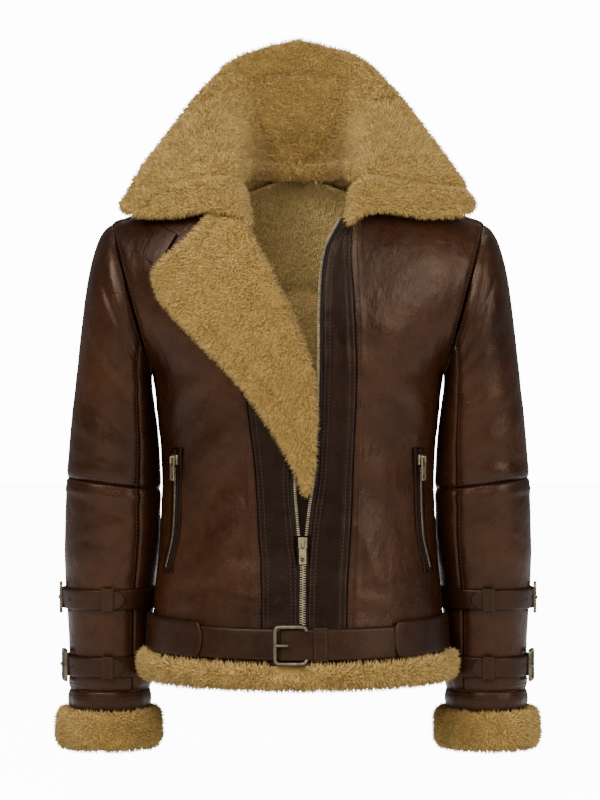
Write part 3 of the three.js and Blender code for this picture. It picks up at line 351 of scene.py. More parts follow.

# %% [markdown]
# ## Leather, wool and metal
# Each finish is one function, so that its variants share their patterns. Leather has three bumps:
# pebbles, wrinkles and soft waves. Wool is darker at a lock's root, and painted shade darkens it where
# it lies deep in the collar. The lining's wool is painted paler than the fleece's, as painted light for
# the shaded inside. Metal has a patina that is rougher where it is dark.


# %% Finishes
def leather(name, dark, mid, rough, grain=1.0, shine=0.2):
    m, t, b = new_material(name)
    b.inputs["Specular Tint"].default_value = (1.0, 0.72, 0.52, 1)
    b.inputs["Specular IOR Level"].default_value = shine
    broad = span(t, pattern(t, "noise", 7, detail=3), 0.3, 0.7)
    fine = span(t, pattern(t, "noise", 60, detail=5), 0.35, 0.75, 0, 0.5)
    base = blend(t, broad, dark, mid)
    base = blend(t, fine, base, tuple(c * 0.7 for c in dark))
    link(t, base, b.inputs["Base Color"])
    link(t, span(t, pattern(t, "noise", 45, detail=4), 0.3, 0.7, rough - 0.07, rough + 0.1),
         b.inputs["Roughness"])
    pebble = bump(t, span(t, pattern(t, "cells", 620), 0, 0.7), 0.00022 * grain, 0.6)
    wrinkle = bump(t, pattern(t, "noise", 95, (1, 1, 0.6), 5), 0.0016 * grain, 0.55, pebble)
    soft = bump(t, pattern(t, "noise", 26, (1, 1, 0.7), 3), 0.004 * grain, 0.5, wrinkle)
    link(t, soft, b.inputs["Normal"])
    return m


def wool(name, root, tip):
    """Wool reads three marks on each lock: nearness to its tip, its own random tone, and painted shade
    where it lies deep in the collar.
    """
    m, t, b = new_material(name, rough=0.85, sheen=0.05)
    marks = {}
    for word in ("tip", "shade", "deep"):
        n = t.nodes.new("ShaderNodeAttribute")
        n.attribute_name = word
        marks[word] = n.outputs["Fac"]
    colour = blend(t, span(t, marks["tip"], 0.0, 0.9), root, tip)
    patch = span(t, pattern(t, "noise", 22, detail=4), 0.3, 0.7)
    colour = blend(t, patch, colour, blend(t, 0.8, colour, tuple(c * 0.6 for c in tip)))
    pale = tuple(min(c * 1.8, 0.9) for c in tip)
    colour = blend(t, marks["shade"], colour, blend(t, 0.6, colour, pale))
    # Painted shade: the deep mark darkens the wool in the collar's hollow
    colour = blend(t, marks["deep"], colour, blend(t, 1.0, colour, (0.62, 0.58, 0.5), "MULTIPLY"))
    link(t, colour, b.inputs["Base Color"])
    link(t, bump(t, pattern(t, "noise", 420, detail=4), 0.0015, 0.8), b.inputs["Normal"])
    return m


def metal(name, dark, bright, rough):
    m, t, b = new_material(name, metallic=1.0)
    patina = span(t, pattern(t, "noise", 110, detail=4), 0.25, 0.8)
    link(t, blend(t, patina, dark, bright), b.inputs["Base Color"])
    link(t, span(t, patina, 0, 1, rough + 0.2, rough), b.inputs["Roughness"])
    link(t, bump(t, pattern(t, "noise", 400, detail=3), 0.0001, 0.3), b.inputs["Normal"])
    return m


LEATHER = leather("body leather", (0.0085, 0.0026, 0.0010), (0.027, 0.0088, 0.0030), 0.31)
STRIP = leather("strip leather", (0.0030, 0.0008, 0.0004), (0.0068, 0.0019, 0.0008), 0.36, shine=0.13)
STRAP = leather("strap leather", (0.0070, 0.0020, 0.0008), (0.0155, 0.0048, 0.0015), 0.38, grain=0.5)
FLEECE = wool("fleece", (0.145, 0.081, 0.018), (0.405, 0.248, 0.057))
# Painted light: the lining's wool is the fleece's wool painted paler, to stand for light on the shaded
# inside
LIT_LINING = wool("lining", (0.32, 0.19, 0.07), (0.78, 0.50, 0.18))
BRASS = metal("zip brass", (0.12, 0.09, 0.055), (0.34, 0.27, 0.16), 0.32)
BRONZE = metal("buckle metal", (0.05, 0.04, 0.027), (0.16, 0.13, 0.085), 0.30)
THREAD = new_material("thread", rough=0.6, colour=(0.02, 0.009, 0.006))[0]
TAPE, _, tape_shader = new_material("zip tape", rough=0.8, colour=(0.007, 0.0042, 0.0032))
tape_shader.inputs["Specular IOR Level"].default_value = 0.1
print("materials:", len(bpy.data.materials))

# %% [markdown]
# ## Creases
# Thick skin folds softly and in few places: under the arm, at the elbow, above the belt. Each
# crease here is one row: where it is, which way it runs, how long, wide and high, and how it curves.
# Ridges have a positive height and troughs a negative one.


# %% Creases
BODY_CREASE, ARM_CREASE = 1.3, 0.45
# Side, x, z, turn, length, width, height, bend; the side is -1 in front and 1 at the back
FOLDS = [(-1, 150, -235, 35, 110, 26, 4, 0), (-1, -150, -235, -35, 110, 26, 4, 0),
         (-1, 120, -300, 60, 150, 34, -3, 0), (-1, -118, -290, -62, 160, 34, -3, 0),
         (-1, 110, -480, 15, 120, 40, 3, 0), (-1, -110, -470, -18, 130, 40, 3, 0),
         (1, 130, -230, 40, 130, 30, 4, 0), (1, -130, -230, -40, 130, 30, 4, 0),
         (1, 60, -450, 10, 160, 44, 4, 0), (1, -80, -440, -12, 150, 44, 4, 0),
         (-1, 166, -285, 22, 120, 12, 2.4, 0.2), (-1, -166, -290, -24, 120, 12, 2.4, -0.2),
         (-1, 140, -262, 48, 110, 13, -2.4, 0.15), (-1, -142, -268, -46, 110, 13, -2.6, -0.15),
         (-1, 112, -232, 66, 120, 15, 2.2, 0.2), (-1, -128, -330, -38, 150, 14, 2.6, -0.25),
         (-1, 104, -345, 40, 150, 15, 2.4, 0.2), (-1, -100, -372, -30, 140, 15, -2.2, -0.2),
         (-1, 130, -400, 14, 130, 14, -2.2, 0.2), (-1, -82, -420, -22, 130, 14, 2.2, -0.2),
         (-1, 90, -440, 20, 110, 13, 2.2, -0.2), (-1, -140, -440, -8, 110, 13, 2.0, 0.2),
         (-1, 150, -470, 6, 80, 11, 2.0, 0.1), (-1, -118, -488, -80, 70, 10, -1.8, 0.2),
         (-1, 118, -492, 84, 80, 10, -1.8, 0.2), (-1, 96, -160, 75, 110, 17, 1.8, 0.2),
         (-1, -70, -498, 86, 70, 9, 1.6, 0.1), (-1, 86, -500, 80, 60, 9, 1.6, 0.1),
         (1, 150, -290, 30, 130, 15, -2.6, 0.2), (1, -150, -300, -30, 130, 15, -2.6, -0.2),
         (1, 95, -300, 60, 160, 16, 2.4, 0.2), (1, -100, -310, -58, 160, 16, 2.4, -0.2),
         (1, 20, -380, 82, 150, 15, 2.2, 0.15), (1, 110, -400, 24, 150, 15, -2.4, 0.2),
         (1, -120, -400, -24, 140, 15, -2.2, -0.2), (1, 40, -490, 84, 130, 11, -2.0, 0.1),
         (1, -90, -488, 88, 120, 11, 2.0, 0.1), (1, 120, -480, 84, 100, 11, 2.0, 0.1)]
# Down, around, spread of both, height, slant, and which sleeve: 1 right, -1 left, 0 both
ARM_FOLDS = [(0.22, 60, 0.045, 50, 3.5, 0, 0), (0.34, 110, 0.03, 60, -3.5, 0, 0),
             (0.46, 150, 0.03, 70, 3.5, 0, 0), (0.56, 140, 0.025, 60, -3, 0, 0),
             (0.72, 60, 0.03, 60, 3, 0, 0), (0.83, 120, 0.025, 60, -3, 0, 0),
             (0.4, -110, 0.03, 70, 3.5, 0, 0), (0.6, -130, 0.03, 60, -3, 0, 0),
             (0.78, -90, 0.03, 70, 3, 0, 0),
             (0.12, 100, 0.018, 40, 2.2, 0.05, 0), (0.17, 70, 0.016, 55, -2.2, 0.06, 0),
             (0.27, 95, 0.015, 50, -2.2, -0.05, 1), (0.30, 60, 0.015, 50, 2.4, 0.06, -1),
             (0.39, 80, 0.014, 55, 2.4, -0.06, 1), (0.41, 55, 0.014, 50, -2.4, 0.07, -1),
             (0.435, 75, 0.012, 60, -2.6, 0.05, 0), (0.475, 70, 0.012, 60, 2.6, 0.05, 0),
             (0.51, 90, 0.013, 55, -2.4, -0.05, 0), (0.55, 60, 0.013, 50, 2.2, -0.06, 1),
             (0.545, 95, 0.013, 50, 2.2, 0.06, -1), (0.62, 80, 0.014, 50, -2.0, 0.06, 0),
             (0.665, 70, 0.013, 50, 2.2, -0.05, 0), (0.70, 100, 0.012, 50, -2.0, 0.04, 0),
             (0.80, 70, 0.012, 50, 2.2, 0.03, 0), (0.86, 85, 0.011, 50, -1.8, -0.03, 0),
             (0.44, 178, 0.014, 60, 2.6, 0, 0), (0.48, -150, 0.013, 60, -2.6, 0.04, 0),
             (0.35, -80, 0.016, 60, 2.2, 0.06, 0), (0.52, -80, 0.014, 60, 2.2, -0.06, 0),
             (0.66, -90, 0.014, 60, -2.0, 0.05, 0), (0.25, -70, 0.018, 50, -2.2, -0.05, 0)]


def body_folds(x, z, back):
    """Height of the body's folds, in millimetres, with the belt holding them flat below."""
    height = np.zeros(np.shape(x))
    for side, fx, fz, turn, length, width, high, bend in FOLDS:
        c, s = math.cos(math.radians(turn)), math.sin(math.radians(turn))
        along = (-(x - fx) * s + (z - fz) * c) / (length / 2)
        across = ((x - fx) * c + (z - fz) * s) / width + bend * along ** 2 * length / width / 4
        same = np.where(back, 1, -1) == side
        height = height + BODY_CREASE * same * high * np.exp(-across ** 2 - along ** 2)
    height = height + 0.7 * np.sin(x / 23 + z / 31) * np.sin(z / 19 - x / 37)
    return height * np.clip((z + 520) / 40, 0, 1)


def arm_folds(down, around, side):
    """Height of a sleeve's folds, in millimetres, with the under seam held flat."""
    height = np.zeros(np.shape(down))
    for d0, a0, sd, sa, high, slant, only in ARM_FOLDS:
        if only and only != side:
            continue
        a = ((around - a0 + 540) % 360 - 180) / sa
        d = (down - d0 - slant * a * 0.5) / sd
        height = height + high * np.exp(-d * d - a * a)
    free = np.abs((around + 360) % 360 - 180)
    return ARM_CREASE * height * smooth((free - 15) / 45)


print("creases on the body:", len(FOLDS), "and on each sleeve about", len(ARM_FOLDS))

# %% [markdown]
# ## Making a panel
# A maker cuts each panel flat and sews it to the next. Here a flat grid is laid on the form's
# surface. Near a seam it dips and then swells, because the stitches pull the thick skin in, and it
# puckers a little along the seam. A Solidify modifier then gives it the thickness of the sheepskin.


# %% Grid helpers
SKIN = 6.4
ROOT = "jacket"
threads, grids, made = [], {}, []


def add_object(name, mesh, *materials, smooth_faces=True):
    """A new piece in the scene, noted in the list of what was made."""
    o = bpy.data.objects.new(name, mesh)
    made.append(o)
    bpy.context.scene.collection.objects.link(o)
    for m in materials:
        mesh.materials.append(m)
    if smooth_faces:
        mesh.polygons.foreach_set("use_smooth", np.ones(len(mesh.polygons), bool))
    return o


def lay_grid(name, cols, rows, points, wrap=False):
    """A flat grid of faces moved onto points[row, column], in millimetres, as a mesh in metres."""
    bm = bmesh.new()
    bmesh.ops.create_grid(bm, x_segments=cols, y_segments=rows, size=0.5)
    mesh = bpy.data.meshes.new(name)
    bm.to_mesh(mesh)
    co = np.empty(len(mesh.vertices) * 3)
    mesh.vertices.foreach_get("co", co)
    co = co.reshape(-1, 3) + 0.5
    c = np.rint(co[:, 0] * cols).astype(int)
    r = np.rint(co[:, 1] * rows).astype(int)
    mesh.vertices.foreach_set("co", (points[r, c] * 0.001).ravel())
    if wrap:
        bm.clear()
        bm.from_mesh(mesh)
        bmesh.ops.remove_doubles(bm, verts=bm.verts, dist=1e-6)
        bm.to_mesh(mesh)
    bm.free()
    mesh.update()
    return mesh


def normals_of(points, centre):
    """Which way each grid point faces, away from a centre."""
    n = unit(np.cross(np.gradient(points, axis=1), np.gradient(points, axis=0)))
    return n * np.sign(np.sum(n * (points - np.asarray(centre, float))))


def face_out(mesh, normals):
    """Turns the faces over if the middle face points against the wanted side."""
    mesh.update()
    f = mesh.polygons[len(mesh.polygons) // 2]
    p = np.array(f.center) * 1000
    flat = normals[1].reshape(-1, 3)
    near = np.argmin(np.sum((normals[0].reshape(-1, 3) - p) ** 2, -1))
    if np.dot(flat[near], np.array(f.normal)) < 0:
        mesh.flip_normals()


def edge_distance(points):
    """How far each grid point lies from the left, right, foot and top edges."""
    du = np.linalg.norm(np.diff(points, axis=1), axis=-1)
    dv = np.linalg.norm(np.diff(points, axis=0), axis=-1)
    left = np.concatenate([np.zeros((len(points), 1)), np.cumsum(du, 1)], 1)
    foot = np.concatenate([np.zeros((1, points.shape[1])), np.cumsum(dv, 0)], 0)
    return {"l": left, "r": left[:, -1:] - left, "f": foot, "t": foot[-1:] - foot}


print("new pieces ride", ROOT)

# %% [markdown]
# ## Seams and the panel itself
# The seam's profile is added to the grid as a height along its normals: a dip at the edge, a swell
# beside it, a ripple along it and, at a double seam, a second dip. `panel` does all the steps for
# one piece, from its surface to its thickness, body and CAD node.


# %% Seams and panels
def seam_shape(points, normals, seams, depth=1.2, swell=0.9, double=""):
    """Grid points with the seams' dips, swells and puckers; seams are named l, r, f and t."""
    far = edge_distance(points)
    lift = np.zeros(points.shape[:2])
    for edge in seams:
        d = far[edge]
        lift -= (edge in double) * 1.1 * np.exp(-((d - 8.5) / 1.9) ** 2)
        run = far["f"] if edge in "lr" else far["l"]
        lift += -depth * np.exp(-(d / 3.2) ** 2) + swell * np.exp(-((d - 11) / 6.5) ** 2)
        ripple = np.sin(run / 6.3 + 1.7 * np.sin(run / 21)) + 0.6 * np.sin(run / 10.7 + 2)
        lift += 0.42 * ripple * np.exp(-(d / 15) ** 2) * smooth(d / 4)
    return points + normals * lift[..., None]


def panel(name, surface, size, centre, seams, materials, nodes, thick=SKIN, wrap=False, **seam):
    """One piece from surface(u, v) in mm; its last material is the inner side's."""
    cols, rows = size
    u, v = np.meshgrid(np.linspace(0, 1, cols + 1), np.linspace(0, 1, rows + 1))
    p = surface(u, v)
    n = normals_of(p, centre)
    p = seam_shape(p, n, seams, **seam)
    mesh = lay_grid(name, cols, rows, p, wrap)
    face_out(mesh, (p, n))
    o = add_object(name, mesh, *materials)
    if thick:
        m = o.modifiers.new("thickness", "SOLIDIFY")
        m.thickness, m.offset, m.material_offset = thick * 0.001, -1, len(materials) - 1
    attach(o, ROOT)
    if nodes:
        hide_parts(*nodes)
    grids[name] = (p, n)
    return o


print("a panel is", SKIN, "mm thick, apart from the fronts and the thin pieces")

# %% [markdown]
# ## Rows of stitches
# A row runs at an even distance in from a panel's edge. Its places are only noted here, with the way
# that the row runs and the way that the leather faces. The stitches are made later, all at once.


# %% Rows of stitches
STITCH_PITCH = 4.8


def seam_line(p, n, edge, off):
    """A row of points this far in from an edge of a grid, with their normals."""
    if edge in "tf":
        p, n = p.transpose(1, 0, 2), n.transpose(1, 0, 2)
    if edge in "rt":
        p, n = p[:, ::-1], n[:, ::-1]
    steps = np.linalg.norm(np.diff(p, axis=1), axis=-1)
    d = np.concatenate([np.zeros((len(p), 1)), np.cumsum(steps, 1)], 1)
    at = lambda a: np.array([[np.interp(off, d[r], a[r, :, k]) for k in range(3)] for r in range(len(p))])
    return at(p), at(n)


def walk(points, normals, pitch):
    """Even steps along a line of points: places, directions and normals."""
    d = np.concatenate([[0], np.cumsum(np.linalg.norm(np.diff(points, axis=0), axis=-1))])
    s = np.arange(pitch / 2, d[-1], pitch)
    at = lambda a: np.stack([np.interp(s, d, a[:, k]) for k in range(3)], -1)
    ahead = np.stack([np.interp(s + 0.5, d, points[:, k]) - np.interp(s - 0.5, d, points[:, k])
                      for k in range(3)], -1)
    return at(points), unit(ahead), unit(at(normals))


def sew(name, edge, *offs):
    """Stitches along an edge of a panel, at these distances in from it."""
    p, n = grids[name]
    for off in offs:
        threads.append(walk(*seam_line(p, n, edge, off), STITCH_PITCH))


print("a stitch every", STITCH_PITCH, "mm")

# %% [markdown]
# ## Fronts
# Each front is a wide panel and a darker strip along the zip. The right one closes over and its
# strip is sewn down with a double row. The left one's strip runs up under the lapel.


# %% Where the front panels end
# A seam's gap of 0.24 mm a side, as degrees round a chest of 150 mm
GAP_ANGLE = 0.24 / 150 * 57.2958
RIDGE_Z = 46
FOOT_LEVEL = (-540 - ARMPIT) / (ARMPIT - HEM_FOOT)
NECK, SHOULDER_SEAM, NAPE = 0.545, 0.86, 0.79


def rough_z(level):
    """About the height of a level, near the front's middle."""
    return np.where(level <= 0, ARMPIT + level * (ARMPIT - HEM_FOOT),
                    ARMPIT + (RIDGE_Z - ARMPIT) * np.sin(np.clip(level, 0, 1) * math.pi / 2))


def front_angle(x, level):
    """The angle on the front at which a level reaches this x."""
    return np.degrees(np.arcsin(np.clip(x / rings(level, np.zeros(np.shape(level), bool))[0], -1, 1)))


def read(rows, column, level):
    return curve(rows["z"], rows[column], rough_z(level))


def clearance(rows, level):
    """Room for the zip's teeth beside its line, measured across."""
    z = rough_z(level)
    slope = (curve(rows["z"], rows["zip"], z + 2) - curve(rows["z"], rows["zip"], z - 2)) / 4
    return 3.6 * np.hypot(1, slope) + 3 * np.abs(slope)


def arm_end(level, back):
    """The angle at which a level meets the armhole or the side seam."""
    return rings(level, np.full(np.shape(level), back))[3]


def body_panel(start, stop, low, high, spread=lambda u: u):
    """A surface on the body between two angle curves of the level, from one level to another."""
    def surface(share, v):
        u = spread(share)
        a = start(low + (high(np.zeros_like(u)) - low) * v) + GAP_ANGLE
        b = stop(low + (high(np.ones_like(u)) - low) * v) - GAP_ANGLE
        level = low + (high(u) - low) * v + np.where(v < 0.5, 1, -1) * 0.15 / (ARMPIT - HEM_FOOT)
        return body(a + (b - a) * u, level, body_folds)
    return surface


def shoulder_seam(u):
    return NECK + (SHOULDER_SEAM - NECK) * smooth(u * 7)


print("the neck seam is at z", float(rough_z(NECK).round(1)), "mm")

# %% [markdown]
# ## The front panels
# The grid's rows follow the levels, so a panel is given by the curves of its two side edges. Its
# columns lie closer together towards the zip, where the neckline bends.

# %% Front panels
MIDDLE = (0, 8, -300)
WARM = (LEATHER, LIT_LINING)
panel("front_right_leather", body_panel(
    lambda l: front_angle(read(RIGHT, "seam", l), l), lambda l: arm_end(l, False), FOOT_LEVEL,
    shoulder_seam, lambda u: u ** 1.8), (58, 118), MIDDLE, "lrt", WARM, ["front_right_panel"], thick=3.4)
panel("front_left_leather", body_panel(
    lambda l: -arm_end(l, False), lambda l: front_angle(read(LEFT, "seam", l), l), FOOT_LEVEL,
    lambda u: shoulder_seam(1 - u), lambda u: 1 - (1 - u) ** 1.8), (58, 118), MIDDLE, "lrt", WARM,
    ["front_left_panel"], thick=3.4)
panel("front_right_strip_leather", body_panel(
    lambda l: front_angle(read(RIGHT, "zip", l) + clearance(RIGHT, l), l),
    lambda l: front_angle(read(RIGHT, "seam", l), l), FOOT_LEVEL, lambda u: NECK + 0 * u),
    (20, 110), MIDDLE, "lr", (STRIP, LIT_LINING), ["front_right_strip"], depth=1.1, swell=0.7, double="r")
panel("front_left_strip_leather", body_panel(
    lambda l: front_angle(read(LEFT, "seam", l), l),
    lambda l: front_angle(read(LEFT, "zip", l) - clearance(LEFT, l), l), FOOT_LEVEL,
    lambda u: NECK + 0 * u), (20, 110), MIDDLE, "lr", (STRIP, LIT_LINING), ["front_left_strip"],
    depth=1.1, swell=0.7, double="l")
sew("front_right_leather", "l", 4)
sew("front_right_strip_leather", "r", 3.5, 9.5)
sew("front_right_strip_leather", "l", 3.5, 9)
sew("front_left_leather", "r", 4)
sew("front_left_strip_leather", "l", 3.5, 9.5)
sew("front_left_strip_leather", "r", 3.5, 9)
sew("front_right_leather", "r", 4.5)
sew("front_left_leather", "l", 4.5)
print("front panels:", list(grids))

# %% [markdown]
# ## Back
# The back is a yoke over the shoulders and two lower panels, with an upright seam a little to one
# side. Inside, the wool faces in.

# %% Back panels
YOKE_LEVEL = float(level_at(np.array(0.0), np.array(-103.0)))
BACK_SEAM_X = 14


def seam_angle(level):
    """The angle of the back's upright seam, beside the middle."""
    return np.degrees(np.arcsin(BACK_SEAM_X / rings(level, np.ones(np.shape(level), bool))[0]))


def yoke(side):
    """Half of the yoke, from the armhole in to the middle, and up over the shoulder ridge."""
    def surface(u, v):
        ridge = 2 - SHOULDER_SEAM - 0.008
        top = ridge + (NAPE - ridge) * smooth((u - 0.7) * 5.2)
        t = YOKE_LEVEL + (top - YOKE_LEVEL) * v
        over = t > 1
        level = np.minimum(np.where(over, 2 - t, t), 0.995)
        turn = rings(level, ~over)[3] * (1 - u) - GAP_ANGLE
        return body(side * np.where(over, turn, 180 - turn), level, body_folds)
    return surface


def whole_yoke(u, v):
    share = 1 - np.abs(u - 0.5) * 2
    return np.where((u >= 0.5)[..., None], yoke(1)(share, v), yoke(-1)(share, v)) + [0, 0, 0.2]


panel("back_right_leather", body_panel(
    lambda l: 180 - arm_end(l, True), lambda l: 180 - seam_angle(l), FOOT_LEVEL,
    lambda u: YOKE_LEVEL + 0 * u), (50, 90), MIDDLE, "lrt", WARM, ["back_lower_right"])
panel("back_left_leather", body_panel(
    lambda l: 180 - seam_angle(l), lambda l: 180 + arm_end(l, True), FOOT_LEVEL,
    lambda u: YOKE_LEVEL + 0 * u), (54, 90), MIDDLE, "lrt", WARM, ["back_lower_left"])
panel("yoke_leather", whole_yoke, (110, 46), (0, 8, -120), "lrft", WARM, ["back_yoke"])
sew("back_right_leather", "t", 4.5)
sew("back_right_leather", "r", 4.5)
sew("back_left_leather", "t", 4.5)
sew("back_left_leather", "l", 4.5)
for edge in "flr":
    sew("yoke_leather", edge, 4.5)
print("back panels laid at", np.round(grids["yoke_leather"][0][0, 0], 1))

# %% [markdown]
# ## Sleeves
# Each sleeve has a top and an under piece above and below the elbow, and a band at the wrist. The
# elbow and the wrist have double rows of stitches. The skin bunches where the arm bends.


# %% Sleeves
def down_at(z):
    """The share of the way down a sleeve at which its middle is at this height."""
    d = np.linspace(0, 1, 2001)
    mid = (curve(SLEEVE["down"], SLEEVE["oz"], d) + curve(SLEEVE["down"], SLEEVE["iz"], d)) / 2
    return float(d[mid > z].max())


ELBOW, WRIST = down_at(-359), down_at(-628)


def arm_panel(name, side, top, foot, start, stop, size, seams, node, **seam):
    """Part of a sleeve between two shares of the way down and two angles round it."""
    mid = (top + foot) / 2
    centre = [side * 240, 20, float(curve(SLEEVE["down"], SLEEVE["oz"], mid))]
    surface = lambda u, v: sleeve(side, foot + (top - foot) * v, start + (stop - start) * u, arm_folds)
    inner = LIT_LINING if top > 0 else STRIP
    return panel(name, surface, size, centre, seams, (LEATHER, inner), [node], **seam)


# A gap of 0.15 mm a side on a sleeve 620 mm long
gap = 0.15 / 620
TOP_END, UNDER_END, TURN_GAP = 128, 232, 0.16
for side, word in ((1, "right"), (-1, "left")):
    for part, top, foot, rows in (("upper", 0, ELBOW - gap, 74), ("lower", ELBOW + gap, WRIST - gap, 58)):
        both = "lrf" if part == "upper" else "lrft"
        name = f"{word}_{part}_sleeve"
        arm_panel(name + "_top", side, top, foot, TURN_GAP - TOP_END, TOP_END - TURN_GAP, (60, rows),
                  both + "t", f"sleeve_{word}_{part}_top", double="f" if part == "upper" else "ft")
        arm_panel(name + "_under", side, top, foot, TOP_END + TURN_GAP, UNDER_END - TURN_GAP,
                  (26, rows // 2), both, f"sleeve_{word}_{part}_under")
        sew(name + "_top", "r", 4.5)
        sew(name + "_top", "l", 4.5)
    sew(f"{word}_upper_sleeve_top", "t", 4.5)
    sew(f"{word}_upper_sleeve_top", "f", 3.5, 8.5)
    sew(f"{word}_lower_sleeve_top", "t", 3.5)
    sew(f"{word}_lower_sleeve_top", "f", 3.5, 8)
    arm_panel(f"{word}_wrist_band", side, WRIST + gap, 1.0, 0, 360, (84, 10), "ft",
              f"sleeve_{word}_wrist_band", wrap=True)
    sew(f"{word}_wrist_band", "t", 3.5, 8)
print("elbow at", round(ELBOW, 3), "and wrist at", round(WRIST, 3), "of the way down")

# %% [markdown]
# ## Wool
# Sheep's wool grows in fine locks that lean on each other. One lock is modelled as a three-sided
# spike. Thousands of copies of it are joined into one mesh per piece: each stands on the piece's
# skin at a random place, leans with its neighbours, and is marked from root to tip.


# %% One lock and its copies
def lock_template():
    """One lock of wool: a three-sided spike, 1 unit tall and 1 unit thick."""
    bm = bmesh.new()
    bmesh.ops.create_cone(bm, cap_ends=False, segments=3, radius1=0.5, radius2=0.0005, depth=1)
    bmesh.ops.remove_doubles(bm, verts=bm.verts, dist=0.01)
    bmesh.ops.translate(bm, verts=bm.verts, vec=(0, 0, 0.5))
    bmesh.ops.triangulate(bm, faces=bm.faces)
    mesh = bpy.data.meshes.new("lock")
    bm.to_mesh(mesh)
    bm.free()
    return mesh


def mesh_arrays(mesh):
    """A mesh's points and triangles as arrays."""
    v = np.empty(len(mesh.vertices) * 3)
    mesh.vertices.foreach_get("co", v)
    mesh.calc_loop_triangles()
    t = np.empty(len(mesh.loop_triangles) * 3, int)
    mesh.loop_triangles.foreach_get("vertices", t)
    return v.reshape(-1, 3), t.reshape(-1, 3)


def joined_copies(name, template, place, x, y, z, marks=None, soft=None):
    """One mesh of many copies of a template, each with its own place and three axes, in metres."""
    v, t = mesh_arrays(template)
    n, k = len(place), len(v)
    points = place[:, None] + v[None, :, :1] * x[:, None] + v[None, :, 1:2] * y[:, None]
    points = points + v[None, :, 2:] * z[:, None]
    faces = (t[None] + (np.arange(n) * k)[:, None, None]).reshape(-1, 3)
    mesh = bpy.data.meshes.new(name)
    mesh.vertices.add(n * k)
    mesh.vertices.foreach_set("co", points.ravel())
    mesh.loops.add(faces.size)
    mesh.loops.foreach_set("vertex_index", faces.ravel())
    mesh.polygons.add(len(faces))
    mesh.polygons.foreach_set("loop_start", np.arange(0, faces.size, 3))
    if marks is not None:
        a = mesh.attributes.new("tip", "FLOAT", "POINT")
        a.data.foreach_set("value", np.tile(v[:, 2] / v[:, 2].max(), n))
        for word, values in marks.items():
            a = mesh.attributes.new(word, "FLOAT", "POINT")
            a.data.foreach_set("value", np.repeat(values, k))
    mesh.update()
    mesh.validate()
    if soft is not None:
        # Wool is shaded mostly like the skin it grows from, which keeps it soft
        own = np.empty(n * k * 3)
        mesh.vertices.foreach_get("normal", own)
        mesh.polygons.foreach_set("use_smooth", np.ones(len(mesh.polygons), bool))
        mixed = own.reshape(-1, 3) * 0.35 + np.repeat(soft, k, 0)
        mesh.normals_split_custom_set_from_vertices(unit(mixed))
    return mesh


LOCK = lock_template()
print("faces in one lock:", len(LOCK.polygons))

# %% [markdown]
# ## Growing the wool
# The locks are spread evenly by area over the skin's faces, at random from a fixed seed. They lean
# together in patches, with some scatter, and are kept from lying flat. The piece's finished mesh is
# read, with its modifiers, so that the wool stands on what is seen.


# %% Grow the wool
def painted_collar_shade(p):
    """How deep a place lies in the hollow of the collar, from 0 to 1: painted shade that darkens the wool
    there.
    """
    side = smooth((72 - np.abs(p[:, 0])) / 14) * smooth((p[:, 1] + 20) / 30)
    return side * (0.35 + 0.65 * smooth((150 - p[:, 2]) / 70)) * smooth((p[:, 2] + 10) / 60)


def grow_wool(name, skin, spacing, length, thick, lean, flow=(0, 0, -0.5), slots=(0,), keep=None,
              material=FLEECE):
    """Locks of wool on a finished piece's faces that have these material slots. Sizes are in mm."""
    bpy.context.view_layer.update()
    done = skin.evaluated_get(bpy.context.evaluated_depsgraph_get())
    mesh = done.to_mesh()
    v, t = mesh_arrays(mesh)
    n = np.empty(len(mesh.vertices) * 3)
    mesh.vertices.foreach_get("normal", n)
    n = n.reshape(-1, 3)
    slot_of = np.empty(len(mesh.loop_triangles), int)
    mesh.loop_triangles.foreach_get("material_index", slot_of)
    done.to_mesh_clear()
    use = np.isin(slot_of, slots)
    middle = v[t].mean(1)
    if keep is not None:
        use &= keep(middle * 1000)
    t = t[use]
    a, b, c = v[t[:, 0]], v[t[:, 1]], v[t[:, 2]]
    area = np.linalg.norm(np.cross(b - a, c - a), axis=-1) / 2
    count = int(area.sum() * 1e6 / spacing ** 2)
    pick = rng.choice(len(t), count, p=area / area.sum())
    r1, r2 = np.sqrt(rng.random(count)), rng.random(count)
    w = np.stack([1 - r1, r1 * (1 - r2), r1 * r2], -1)[..., None]
    place = (v[t[pick]] * w).sum(1)
    normal = unit((n[t[pick]] * w).sum(1))
    # Locks lean together in patches, as combed wool does
    at = place * 1000
    wave = np.stack([np.sin(at @ q + s + 0.8 * np.sin(at @ (q[1], q[2], q[0]) * 1.4)) for q, s in
                     (((0.16, 0.09, 0.12), 0), ((-0.1, 0.17, 0.09), 2), ((0.09, -0.12, 0.17), 4))], -1)
    z = unit(normal + np.asarray(flow) + lean * (0.2 * wave + rng.normal(0, 0.42, (count, 3))))
    z = unit(z + normal * np.maximum(0.35, 0.55 - (z * normal).sum(-1, keepdims=True)))
    x = unit(np.cross(z, rng.normal(0, 1, (count, 3))))
    y = np.cross(z, x)
    tall = length * 0.001 * rng.uniform(0.65, 1.25, count)[:, None]
    wide = thick * 0.001 * rng.uniform(0.75, 1.3, count)[:, None]
    # The deep mark is painted shade: the wool is darker in the collar's hollow
    locks = joined_copies(name, LOCK, place - normal * 0.001, x * wide, y * wide, z * tall,
                          {"shade": rng.random(count) ** 2 * 0.8, "deep": painted_collar_shade(at)}, normal)
    add_object(name, locks, material).parent = skin
    print(name, count, "locks,", len(locks.polygons), "faces")


def lumps(p, high):
    """Soft lumps in the skin under the wool, in millimetres."""
    x, y, z = p[..., 0], p[..., 1], p[..., 2]
    return high * (np.sin(x / 9 + 2 * np.sin(z / 17)) * np.sin(z / 11 + 1.5 * np.sin(y / 13))
                   + 0.25 * np.sin(x / 5.1 + z / 6.3) * np.sin(y / 11 - z / 8.7))


